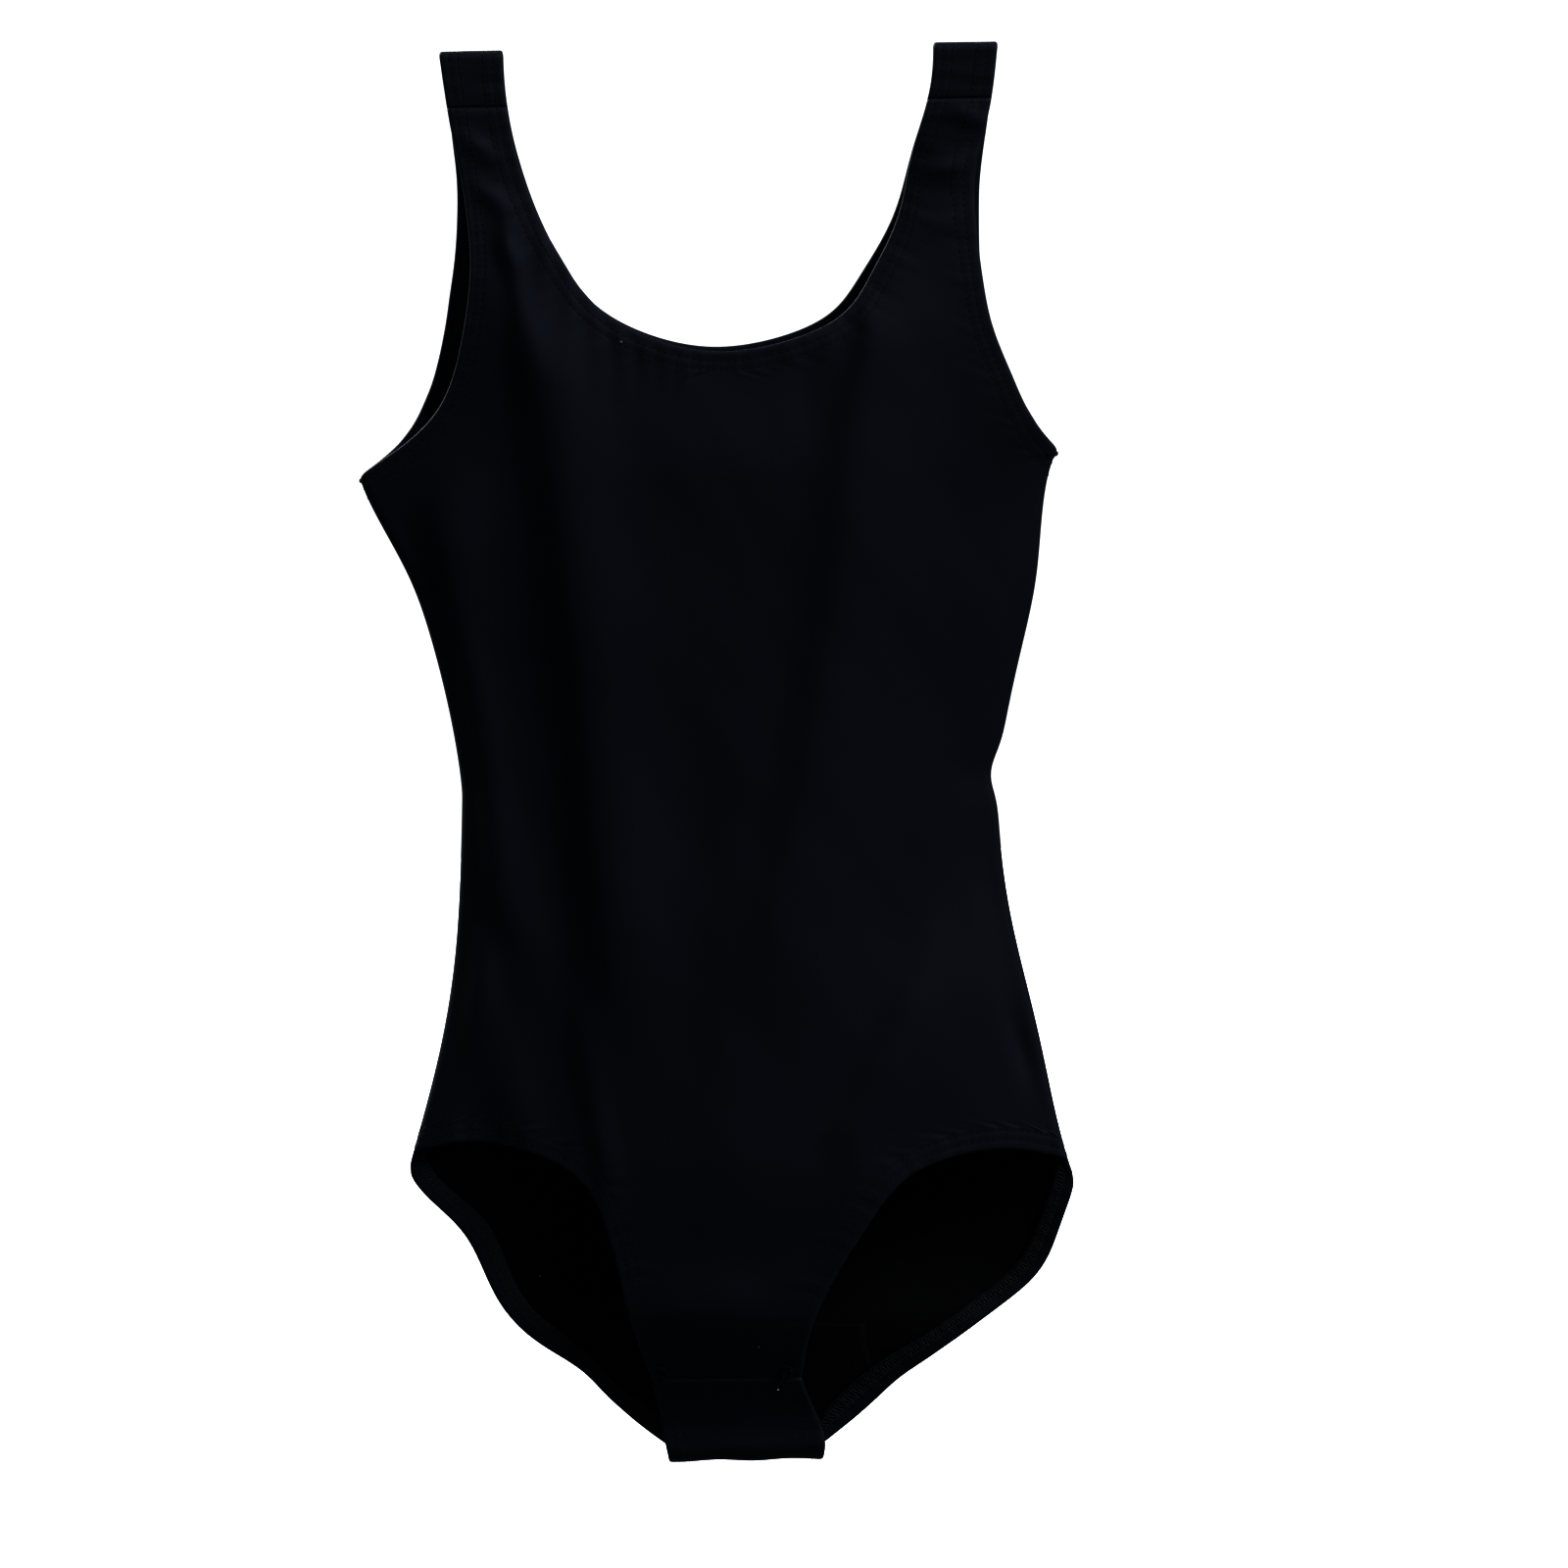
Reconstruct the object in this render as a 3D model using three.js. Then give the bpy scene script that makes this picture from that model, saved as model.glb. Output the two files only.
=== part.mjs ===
// A sleeveless gymnastics leotard of stretch knit, hanging by its two straps.
// Millimetres. The wearer faces -Y, +X is the wearer's left, +Z is up, and the origin lies midway
// between the two straps at the height where their folds rest on a hanger arm.
import * as THREE from "three";

// Outline sizes. A drop is measured straight down from the origin.
const strapCentre = 110;
const strapWidth = 26;
const strapTaper = 3;
const strapDrop = 30;
const shoulderSeamDrop = 23;
const frontNeckDrop = 135;
const backNeckDrop = 131;
const frontArmholeScoop = 8.5;
const backArmholeScoop = 4.5;
const underarmDrop = 190;
const chestHalfWidth = 154;
const waistDrop = 328;
const waistHalfWidth = 118;
const hipDrop = 490;
const hipHalfWidth = 145;
const legTopRise = 5;
const crotchSeamDrop = 590;
const crotchHalfWidth = 32;
const bodyLength = 628;

// How far the front and the back stand apart as the leotard hangs.
const neckHalfDepth = 16;
const chestHalfDepth = 20;
const waistHalfDepth = 20;
const hipHalfDepth = 24;
const sideFoldRadius = 4;
const crotchFoldRadius = 7;
const bowSharpness = 1.5;

// How the side lines curve: powers between the waist and its two ends, and flares past the ends.
const chestSideCurve = 1.33;
const hipSideCurve = 2;
const chestFlare = { slope: 0.34, curve: 0.006 };
const hipFlare = { slope: 0.33, curve: 0.012 };

// Cloth, elastic and thread.
const clothThickness = 0.5;
const hemWidth = 8.5;
const elasticWidth = 6;
const elasticThickness = 0.6;
const elasticEdgeGap = 1.2;
const elasticFreePlay = 0.2;
const stitchRowSpan = [3.2, 7.4];
const threadThickness = 0.25;
const allowanceWidth = 6;
const allowanceThickness = 1.2;
const liningThickness = 0.4;
const liningRise = 62;
const liningHalfWidth = 60;
const labelSize = { width: 18, length: 26, thickness: 0.3, fold: 1.1, rise: 80 };
const tackLength = 5;
const tackOverhang = 0.5;

// The hanger arm that the strap folds fit over.
const hangerThickness = 6;
const hangerClearance = 0.5;
const strapFoldRadius = 3.3;

// Clearances between touching pieces.
const seamGap = 0.3;
const layerGap = 0.35;

// Sizes that follow from the ones above.
const strapInner = strapCentre - strapWidth / 2;
const strapOuter = strapCentre + strapWidth / 2;
const hemDepth = clothThickness + elasticThickness + 2 * layerGap;
const hemStack = hemDepth + clothThickness / 2;
const strapHalfDepth = hangerThickness / 2 + hangerClearance + hemStack;
const crotchBend = -(bodyLength - crotchFoldRadius);
const elasticInset = clothThickness / 2 + layerGap + elasticFreePlay;

// The top of a strap: two round corners and a flat between them, measured along the cloth.
const strapBend = hemStack - strapFoldRadius;
const cornerLength = (Math.PI / 2) * strapFoldRadius;
const flatLength = 2 * (strapHalfDepth - strapFoldRadius);
const strapFoldLength = 2 * cornerLength + flatLength;
const shoulderSeamAlong = strapBend + strapFoldLength + strapBend + shoulderSeamDrop;
const crotchFoldLength = Math.PI * crotchFoldRadius;
const crotchSeamAlong = crotchBend - crotchFoldLength - (bodyLength - crotchFoldRadius - crotchSeamDrop);

const mix = THREE.MathUtils.lerp;

// Eased value between stations of [height, value], listed from the top down.
function eased(stations, z) {
  const below = stations.findIndex(([height]) => height < z);
  if (below === 0) return stations[0][1];
  if (below < 0) return stations[stations.length - 1][1];
  const [high, valueHigh] = stations[below - 1];
  const [low, valueLow] = stations[below];
  return mix(valueLow, valueHigh, THREE.MathUtils.smoothstep(z, low, high));
}

const halfDepthStations = [
  [-strapDrop, strapHalfDepth],
  [-frontNeckDrop, neckHalfDepth],
  [-underarmDrop, chestHalfDepth],
  [-waistDrop, waistHalfDepth],
  [-hipDrop, hipHalfDepth],
  [crotchBend, crotchFoldRadius],
];
const sideRadiusStations = [
  [-strapDrop, strapHalfDepth],
  [-underarmDrop, sideFoldRadius],
  [-hipDrop, sideFoldRadius],
  [crotchBend, crotchFoldRadius],
];

const flare = (distance, { slope, curve }) => slope * distance + curve * distance ** 2;

// Half width of the body, from armpit to hip, and past both ends the width that the cloth would reach.
function reach(z) {
  const chestRise = z + underarmDrop;
  if (chestRise > 0) return chestHalfWidth + flare(chestRise, chestFlare);
  const hipFall = -hipDrop - z;
  if (hipFall > 0) return hipHalfWidth + flare(hipFall, hipFlare);
  const fromWaist = z + waistDrop;
  if (fromWaist > 0) {
    const share = fromWaist / (waistDrop - underarmDrop);
    return mix(waistHalfWidth, chestHalfWidth, share ** chestSideCurve);
  }
  const share = -fromWaist / (hipDrop - waistDrop);
  return mix(waistHalfWidth, hipHalfWidth, share ** hipSideCurve);
}

// The side seam's place measured across the cloth from the centre line.
function seamAcross(z) {
  const radius = eased(sideRadiusStations, z);
  return reach(z) - radius + (Math.PI / 2) * radius - seamGap / 2;
}

// Cross-section at a height: a shallow bow that closes in a small round fold at the side.
function crossSection(across, z) {
  const radius = eased(sideRadiusStations, z);
  const depth = eased(halfDepthStations, z);
  const core = reach(z) - radius;
  if (across > core) {
    const angle = (across - core) / radius;
    return { x: core + radius * Math.sin(angle), y: radius * Math.cos(angle) };
  }
  const bow = Math.cos(((Math.PI / 2) * across) / core) ** bowSharpness;
  return { x: across, y: radius + (depth - radius) * bow };
}

// Middle surface of the front: along is the height itself.
function frontSurface(across, along) {
  const { x, y } = crossSection(across, along);
  return new THREE.Vector3(x, -y, along);
}

// Middle surface of the back, which runs over the hanger arm at the top, and under the crotch to the front.
function backSurface(across, along) {
  const rise = along - strapBend;
  if (rise > strapFoldLength) return frontSurface(across, strapBend - (rise - strapFoldLength));
  if (rise > 0) {
    const middle = strapHalfDepth - strapFoldRadius;
    if (rise < cornerLength) {
      const angle = rise / strapFoldRadius;
      const y = middle + strapFoldRadius * Math.cos(angle);
      return new THREE.Vector3(across, y, strapBend + strapFoldRadius * Math.sin(angle));
    }
    if (rise < cornerLength + flatLength) {
      return new THREE.Vector3(across, middle - (rise - cornerLength), strapBend + strapFoldRadius);
    }
    const angle = (rise - cornerLength - flatLength) / strapFoldRadius;
    const y = -middle - strapFoldRadius * Math.sin(angle);
    return new THREE.Vector3(across, y, strapBend + strapFoldRadius * Math.cos(angle));
  }
  const fall = crotchBend - along;
  if (fall > crotchFoldLength) return frontSurface(across, crotchBend + fall - crotchFoldLength);
  if (fall > 0) {
    const angle = fall / crotchFoldRadius;
    const y = crotchFoldRadius * Math.cos(angle);
    return new THREE.Vector3(across, y, crotchBend - crotchFoldRadius * Math.sin(angle));
  }
  const { x, y } = crossSection(across, along);
  return new THREE.Vector3(x, y, along);
}

// A point of the middle surface with its normal, which points out of the garment.
function clothPoint(side, spot) {
  const step = 0.02;
  const at = (dx, dy) => side.surface(Math.abs(spot.x + dx), spot.y + dy);
  const across = at(step, 0).sub(at(spot.x < step ? 0 : -step, 0));
  const along = at(0, step).sub(at(0, -step));
  const normal = across.cross(along).multiplyScalar(side.outward).normalize();
  if (spot.x === 0) normal.setX(0).normalize();
  return { position: side.surface(spot.x, spot.y), normal };
}

const flat = (x, y) => new THREE.Vector2(x, y);

// Strap edges by height, and the neckline, which is half of an ellipse.
const neckAcross = (z, drop) => strapInner * Math.sqrt(1 - Math.min(1, z / drop) ** 2);
const strapOuterAcross = (z) => strapOuter + (strapTaper * Math.min(0, z)) / strapDrop;

function armholeCurve(scoop) {
  const start = strapOuterAcross(-strapDrop);
  const waistline = strapOuter - scoop;
  return new THREE.SplineCurve([
    flat(start, -strapDrop),
    flat(mix(waistline, start, 0.25), mix(-strapDrop, -underarmDrop, 0.22)),
    flat(waistline, mix(-strapDrop, -underarmDrop, 0.44)),
    flat(mix(waistline, chestHalfWidth, 0.17), mix(-strapDrop, -underarmDrop, 0.71)),
    flat(mix(waistline, chestHalfWidth, 0.53), mix(-strapDrop, -underarmDrop, 0.88)),
    flat(seamAcross(-underarmDrop), -underarmDrop),
  ]);
}

function neckCurve(drop) {
  const start = Math.asin(strapDrop / drop);
  return {
    getPointAt(share) {
      const angle = mix(start, Math.PI / 2, share);
      return flat(strapInner * Math.cos(angle), -drop * Math.sin(angle));
    },
  };
}

function frontLegCurve() {
  const drop = crotchSeamDrop - hipDrop;
  const span = hipHalfWidth - crotchHalfWidth;
  const at = (shareOut, shareDown) => flat(crotchHalfWidth + span * shareOut, -hipDrop - drop * shareDown);
  return new THREE.SplineCurve([
    flat(seamAcross(-hipDrop), -hipDrop),
    flat(crotchHalfWidth + span * 0.76, -hipDrop + legTopRise),
    at(0.51, 0),
    at(0.32, 0.13),
    at(0.18, 0.4),
    at(0.07, 0.72),
    at(0, 1),
  ]);
}

function backLegCurve() {
  const drop = -crotchBend - hipDrop;
  const span = hipHalfWidth - crotchHalfWidth;
  const at = (shareOut, shareDown) => flat(crotchHalfWidth + span * shareOut, -hipDrop - drop * shareDown);
  return new THREE.SplineCurve([
    flat(seamAcross(-hipDrop), -hipDrop),
    at(1.01, 0.11),
    at(0.92, 0.26),
    at(0.78, 0.43),
    at(0.58, 0.61),
    at(0.3, 0.79),
    at(0.09, 0.93),
    at(0, 1),
  ]);
}

// Lengths from a seam corner at which an edge takes extra points, to follow the round side fold.
const foldStep = (Math.PI / 4) * sideFoldRadius;
const cornerSteps = [0, foldStep, 2 * foldStep, 3.5 * foldStep];

// Spots along a curve, dense beside the seam corner at its end or its start, and even elsewhere.
function spotsAlong(curve, segments, cornerAtEnd) {
  const length = curve.getLength();
  const shares = cornerSteps.map((step) => 1 - step / length).reverse();
  const even = shares[0];
  for (let i = segments - 1; i >= 0; i--) shares.unshift((even * i) / segments);
  if (!cornerAtEnd) shares.reverse();
  return shares.map((share) => curve.getPointAt(cornerAtEnd ? share : 1 - share));
}

// Length from the first spot to each spot.
function runningLengths(spots) {
  let sum = 0;
  return spots.map((spot, i) => {
    if (i > 0) sum += spot.distanceTo(spots[i - 1]);
    return sum;
  });
}

// Inset of an open edge by the hem's width. Its two ends go to the given spots, which lie on the seams,
// and where the cloth bends over the hanger or under the crotch it is taken straight across.
function insetSpots(edge, turn, first, last) {
  const easeLength = 24;
  const along = runningLengths(edge);
  const total = along[along.length - 1];
  return edge.map((spot, i) => {
    if (i === 0) return first;
    if (i === edge.length - 1) return last;
    if (spot.y > -strapDrop || spot.y <= crotchBend) return flat(spot.x - turn * hemWidth, spot.y);
    const tangent = edge[i + 1].clone().sub(edge[i - 1]).normalize();
    const inward = flat(tangent.y, -tangent.x).multiplyScalar(turn);
    const fromStart = first.clone().sub(edge[0]).normalize();
    const fromEnd = last.clone().sub(edge[edge.length - 1]).normalize();
    inward.lerp(fromStart, Math.max(0, 1 - along[i] / easeLength) ** 2);
    inward.lerp(fromEnd, Math.max(0, 1 - (total - along[i]) / easeLength) ** 2);
    return spot.clone().addScaledVector(inward.normalize(), hemWidth);
  });
}

// One side of the garment: its surface, its outlines, and the rows that cross its right half.
const front = {
  surface: frontSurface,
  outward: 1,
  neckDrop: frontNeckDrop,
  armhole: armholeCurve(frontArmholeScoop),
  leg: frontLegCurve(),
  strapRows: [-shoulderSeamDrop - seamGap / 2, -strapDrop],
  crotchRows: [allowanceWidth + 2 * seamGap, seamGap / 2].map((rise) => rise - crotchSeamDrop),
};
const strapBends = [0, 0.5, 1].map((share) => share * cornerLength);
const back = {
  surface: backSurface,
  outward: -1,
  neckDrop: backNeckDrop,
  armhole: armholeCurve(backArmholeScoop),
  leg: backLegCurve(),
  strapRows: [
    shoulderSeamAlong - seamGap / 2,
    ...strapBends.map((bend) => strapBend + strapFoldLength - bend),
    ...strapBends.map((bend) => strapBend + cornerLength - bend),
    -strapDrop,
  ],
  crotchRows: [
    ...[0, 0.2, 0.4, 0.6, 0.8, 1].map((share) => crotchBend - share * crotchFoldLength),
    crotchSeamAlong + seamGap / 2,
  ],
};

// Height of a spot on a strap, from its length along the cloth.
function strapHeight(along) {
  if (along <= strapBend) return along;
  return Math.min(0, strapBend - (along - strapBend - strapFoldLength));
}

// The hems' inner corners on the side seam, which the front and the back share.
const underarmInset = flat(seamAcross(-underarmDrop - hemWidth), -underarmDrop - hemWidth);
const hipInset = flat(seamAcross(-hipDrop + hemWidth), -hipDrop + hemWidth);

const armholeSegments = 8;
const sideSegments = 10;
const legSegments = 8;
const middleSegments = 4;

function layOut(side) {
  const strapTop = side.strapRows[0];
  const armEdge = [
    ...side.strapRows.slice(0, -1).map((along) => flat(strapOuterAcross(strapHeight(along)), along)),
    ...spotsAlong(side.armhole, armholeSegments, true),
  ];
  const armInset = insetSpots(armEdge, 1, flat(armEdge[0].x - hemWidth, strapTop), underarmInset);

  const lastCrotch = side.crotchRows[side.crotchRows.length - 1];
  const legEdge = spotsAlong(side.leg, legSegments, false);
  legEdge.pop();
  side.crotchRows.forEach((along) => legEdge.push(flat(crotchHalfWidth, along)));
  const legInset = insetSpots(legEdge, 1, hipInset, flat(crotchHalfWidth - hemWidth, lastCrotch));

  const seam = [];
  for (let i = 1; i < sideSegments; i++) {
    const height = mix(underarmInset.y, hipInset.y, i / sideSegments);
    seam.push(flat(seamAcross(height), height));
  }
  const outer = [...armInset, ...seam, ...legInset];
  const corner = armInset.length - 1;

  // The neckline takes a spot for each armhole spot, at the same share of its length.
  const strapCount = side.strapRows.length;
  const armLengths = runningLengths(armInset.slice(strapCount - 1));
  const armLength = armLengths[armLengths.length - 1];
  const neckline = neckCurve(side.neckDrop);
  const neckEdge = [
    ...side.strapRows.slice(0, -1).map((along) => {
      return flat(neckAcross(strapHeight(along), side.neckDrop), along);
    }),
    ...armLengths.map((length) => neckline.getPointAt(length / armLength)),
  ];
  neckEdge[corner].x = 0;
  const neckBottom = flat(0, -side.neckDrop - hemWidth);
  const neckInset = insetSpots(neckEdge, -1, flat(neckEdge[0].x + hemWidth, strapTop), neckBottom);

  // Below the neckline the rows start on the centre line.
  const bendRow = outer.length - side.crotchRows.length;
  const bodyLengths = runningLengths(outer.slice(corner, bendRow + 1));
  const bodyTotal = bodyLengths[bodyLengths.length - 1];
  const inner = outer.map((spot, i) => {
    if (i <= corner) return neckInset[i];
    if (i > bendRow) return flat(0, side.crotchRows[i - bendRow]);
    return flat(0, mix(neckBottom.y, side.crotchRows[0], bodyLengths[i - corner] / bodyTotal));
  });
  return { armEdge, armInset, legEdge, legInset, neckEdge, neckInset, outer, inner };
}

// Spots across one row: even steps, then two short ones round the side fold.
const mostFoldShare = 0.3;
function acrossRow(inner, outer) {
  const length = inner.distanceTo(outer);
  const foldShare = Math.min(mostFoldShare, foldStep / length);
  const shares = [];
  for (let i = 0; i <= middleSegments; i++) shares.push((i / middleSegments) * (1 - 2 * foldShare));
  shares.push(1 - foldShare, 1);
  return shares.map((share) => flat(mix(inner.x, outer.x, share), mix(inner.y, outer.y, share)));
}

// A band runs along an open edge: at each station it holds the edge and the inset on the cloth.
function bandOf(side, edge, inset) {
  return edge.map((spot, i) => ({ edge: clothPoint(side, spot), inset: clothPoint(side, inset[i]) }));
}

// A place in a band: share is 0 at the edge and 1 at the inset, height is above the middle surface.
function bandPlace({ edge, inset }, share, height) {
  const atEdge = edge.position.clone().addScaledVector(edge.normal, height);
  const atInset = inset.position.clone().addScaledVector(inset.normal, height);
  return atEdge.lerp(atInset, share);
}

// The turned hem at a station: the edge rolls round the elastic and runs back inside the cloth.
function hemTurn({ edge, inset }) {
  const out = edge.position.clone().sub(inset.position);
  out.addScaledVector(edge.normal, -out.dot(edge.normal)).normalize();
  const radius = hemDepth / 2;
  const turn = [60, 120].map((degrees) => {
    const angle = THREE.MathUtils.degToRad(degrees);
    const normal = edge.normal.clone().multiplyScalar(Math.cos(angle));
    normal.addScaledVector(out, Math.sin(angle));
    const centre = edge.position.clone().addScaledVector(edge.normal, -radius);
    return { position: centre.addScaledVector(normal, radius), normal };
  });
  const under = (point) => ({
    position: point.position.clone().addScaledVector(point.normal, -hemDepth),
    normal: point.normal.clone().negate(),
  });
  return [inset, edge, ...turn, under(edge), under(inset)];
}

const mirrored = ({ position, normal }) => ({
  position: position.clone().setX(-position.x),
  normal: normal.clone().setX(-normal.x),
});

// The same four-sided face seen from behind.
const turnedOver = ([a, b, c, d]) => [a, d, c, b];

// A cloth point on either half of the garment: a negative place across is on the wearer's right.
function placeAcross(side, across, along) {
  const point = clothPoint(side, flat(Math.abs(across), along));
  return across < 0 ? mirrored(point) : point;
}

// A sheet collects four-sided faces on a middle surface, then gets its thickness.
class Sheet {
  constructor() {
    this.points = [];
    this.faces = [];
    this.indexByPlace = new Map();
  }

  pointIndex(point) {
    const place = point.position.toArray().map((value) => (Math.round(value * 1e3) / 1e3 + 0).toFixed(3));
    const key = place.join(" ");
    if (!this.indexByPlace.has(key)) {
      this.indexByPlace.set(key, this.points.length);
      this.points.push(point);
    }
    return this.indexByPlace.get(key);
  }

  // Faces between two rows of points. turned is for a half that is mirrored.
  addRows(rowA, rowB, turned) {
    for (let i = 0; i + 1 < rowA.length; i++) {
      const face = [rowA[i], rowB[i], rowB[i + 1], rowA[i + 1]].map((point) => this.pointIndex(point));
      this.faces.push(turned ? turnedOver(face) : face);
    }
  }

  addGrid(rows, turned) {
    for (let i = 0; i + 1 < rows.length; i++) this.addRows(rows[i], rows[i + 1], turned);
  }

  // Closed geometry between two heights above the middle surface.
  thicken(low, high) {
    const count = this.points.length;
    const positions = [];
    [high, low].forEach((height) => {
      this.points.forEach(({ position, normal }) => {
        positions.push(...position.clone().addScaledVector(normal, height).toArray());
      });
    });
    const faces = [];
    const edges = new Map();
    this.faces.forEach((face) => {
      faces.push(face);
      faces.push(turnedOver(face.map((i) => i + count)));
      face.forEach((a, i) => {
        const b = face[(i + 1) % face.length];
        const opposite = `${b} ${a}`;
        if (edges.has(opposite)) edges.delete(opposite);
        else edges.set(`${a} ${b}`, [a, b]);
      });
    });
    edges.forEach(([a, b]) => faces.push([b, a, a + count, b + count]));
    return closedGeometry(positions, faces);
  }
}

// Geometry from positions and faces of four corners, each split along its shorter diagonal, so that
// cloth that lies on cloth is split alike. Faces that point inwards are turned round.
function closedGeometry(positions, faces) {
  const corner = (i) => new THREE.Vector3().fromArray(positions, 3 * i);
  const apart = (a, b) => corner(a).distanceTo(corner(b));
  const triangles = [];
  faces.forEach(([a, b, c, d]) => {
    if (apart(a, c) < apart(b, d)) triangles.push([a, b, c], [a, c, d]);
    else triangles.push([a, b, d], [b, c, d]);
  });
  let volume = 0;
  triangles.forEach(([a, b, c]) => (volume += corner(a).dot(corner(b).cross(corner(c)))));
  if (volume < 0) triangles.forEach((triangle) => triangle.reverse());
  const geometry = new THREE.BufferGeometry();
  geometry.setAttribute("position", new THREE.Float32BufferAttribute(positions, 3));
  geometry.setIndex(triangles.flat());
  geometry.computeVertexNormals();
  return geometry;
}

// A solid swept through stations, each a ring of four corners. looped joins the last to the first.
function sweepSolid(stations, looped) {
  const positions = stations.flat().flatMap((point) => point.toArray());
  const faces = [];
  const count = stations.length;
  for (let i = 0; i < (looped ? count : count - 1); i++) {
    const next = (i + 1) % count;
    for (let k = 0; k < 4; k++) {
      const side = (k + 1) % 4;
      faces.push([4 * i + k, 4 * i + side, 4 * next + side, 4 * next + k]);
    }
  }
  if (!looped) faces.push([3, 2, 1, 0], [0, 1, 2, 3].map((k) => 4 * (count - 1) + k));
  return closedGeometry(positions, faces);
}

// Four corners of a strip's section in a band.
function bandSection(station, [nearEdge, farEdge], [low, high]) {
  return [
    bandPlace(station, nearEdge / hemWidth, low),
    bandPlace(station, farEdge / hemWidth, low),
    bandPlace(station, farEdge / hemWidth, high),
    bandPlace(station, nearEdge / hemWidth, high),
  ];
}

// Where two bands meet at a seam, one station halfway between their ends.
function between(stationA, stationB) {
  const middle = (a, b) => ({
    position: a.position.clone().lerp(b.position, 0.5),
    normal: a.normal.clone().add(b.normal).normalize(),
  });
  return { edge: middle(stationA.edge, stationB.edge), inset: middle(stationA.inset, stationB.inset) };
}

const mirroredStation = ({ edge, inset }) => ({ edge: mirrored(edge), inset: mirrored(inset) });

// The closed run of stations round an opening, from the bands of the front and of the back.
function openingLoop(frontBand, backBand) {
  const last = frontBand.length - 1;
  const backLast = backBand.length - 1;
  return [
    between(frontBand[0], backBand[0]),
    ...frontBand.slice(1, last),
    between(frontBand[last], backBand[backLast]),
    ...backBand.slice(1, backLast).reverse(),
  ];
}

const layouts = { front: layOut(front), back: layOut(back) };
const bandsOf = (side, layout) => ({
  neck: bandOf(side, layout.neckEdge, layout.neckInset),
  armhole: bandOf(side, layout.armEdge, layout.armInset),
  leg: bandOf(side, layout.legEdge, layout.legInset),
});
const frontBands = bandsOf(front, layouts.front);
const backBands = bandsOf(back, layouts.back);

function panelGeometry(side, layout, bands) {
  const sheet = new Sheet();
  const rows = layout.outer.map((spot, i) => {
    return acrossRow(layout.inner[i], spot).map((place) => clothPoint(side, place));
  });
  const hems = [bands.neck, bands.armhole, bands.leg].map((band) => band.map(hemTurn));
  // The neck hem lies on the other side of its rows, so its faces turn the other way.
  const parts = [
    { grid: rows, turned: false },
    { grid: hems[0], turned: true },
    { grid: hems[1], turned: false },
    { grid: hems[2], turned: false },
  ];
  parts.forEach(({ grid, turned }) => {
    sheet.addGrid(grid, turned);
    sheet.addGrid(grid.map((row) => row.map(mirrored)), !turned);
  });
  return sheet.thicken(-clothThickness / 2, clothThickness / 2);
}

// The seam allowance, wrapped by its overlock threads, stands inward along the side seam.
function sideAllowance() {
  const half = allowanceThickness / 2;
  const near = clothThickness / 2 + layerGap;
  const top = underarmInset.y - layerGap;
  const bottom = hipInset.y + layerGap;
  const stations = [];
  for (let i = 0; i <= sideSegments; i++) {
    const z = mix(top, bottom, i / sideSegments);
    const outer = reach(z) - near;
    const inner = outer - allowanceWidth;
    const ring = [
      [outer, -half],
      [inner, -half],
      [inner, half],
      [outer, half],
    ];
    stations.push(ring.map(([x, y]) => new THREE.Vector3(x, y, z)));
  }
  return sweepSolid(stations, false);
}

// A flat strip on the inner face of a strap or of the crotch, at the front.
function innerPatch(acrossFrom, acrossTo, zFrom, zTo, height) {
  const sheet = new Sheet();
  const steps = [0, 0.5, 1];
  sheet.addGrid(
    [zFrom, zTo].map((z) => {
      return steps.map((share) => placeAcross(front, mix(acrossFrom, acrossTo, share), z));
    }),
    false,
  );
  const top = -clothThickness / 2 - layerGap;
  return sheet.thicken(top - height, top);
}

function shoulderAllowance() {
  const neckSide = strapInner + hemWidth + layerGap;
  const armSide = strapOuterAcross(-shoulderSeamDrop) - hemWidth - layerGap;
  const bottom = -shoulderSeamDrop;
  return innerPatch(neckSide, armSide, bottom, bottom + allowanceWidth, allowanceThickness);
}

function crotchAllowance() {
  const half = crotchHalfWidth - hemWidth - layerGap;
  const bottom = -crotchSeamDrop + seamGap;
  return innerPatch(-half, half, bottom, bottom + allowanceWidth, allowanceThickness);
}

// The lining lies inside the crotch, from the crotch seam up the back, between the leg hems.
function liningGeometry() {
  const { legInset } = layouts.back;
  const sheet = new Sheet();
  const rows = [];
  const steps = [-1, -0.5, 0, 0.5, 1];
  legInset.forEach((spot) => {
    if (spot.y > -bodyLength + liningRise) return;
    const half = Math.min(spot.x - layerGap, liningHalfWidth);
    rows.push(steps.map((share) => placeAcross(back, half * share, spot.y)));
  });
  sheet.addGrid(rows, false);
  const top = -clothThickness / 2 - layerGap;
  return sheet.thicken(top - liningThickness, top);
}

// A short tack over the last of the stitch rows, beside the crotch seam on the front leg hem.
function tackGeometry() {
  const band = frontBands.leg;
  const last = band[band.length - 1];
  const before = band[band.length - 2];
  const length = last.edge.position.distanceTo(before.edge.position);
  const partWay = (share) => ({
    edge: {
      position: last.edge.position.clone().lerp(before.edge.position, share),
      normal: last.edge.normal.clone().lerp(before.edge.normal, share).normalize(),
    },
    inset: {
      position: last.inset.position.clone().lerp(before.inset.position, share),
      normal: last.inset.normal.clone().lerp(before.inset.normal, share).normalize(),
    },
  });
  const low = clothThickness / 2 + 2 * layerGap + threadThickness;
  const start = seamGap / length;
  const span = [stitchRowSpan[0] - tackOverhang, stitchRowSpan[1] + tackOverhang];
  const stations = [start, start + tackLength / length].map((share) => {
    return bandSection(partWay(share), span, [low, low + threadThickness]);
  });
  return sweepSolid(stations, false);
}

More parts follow.
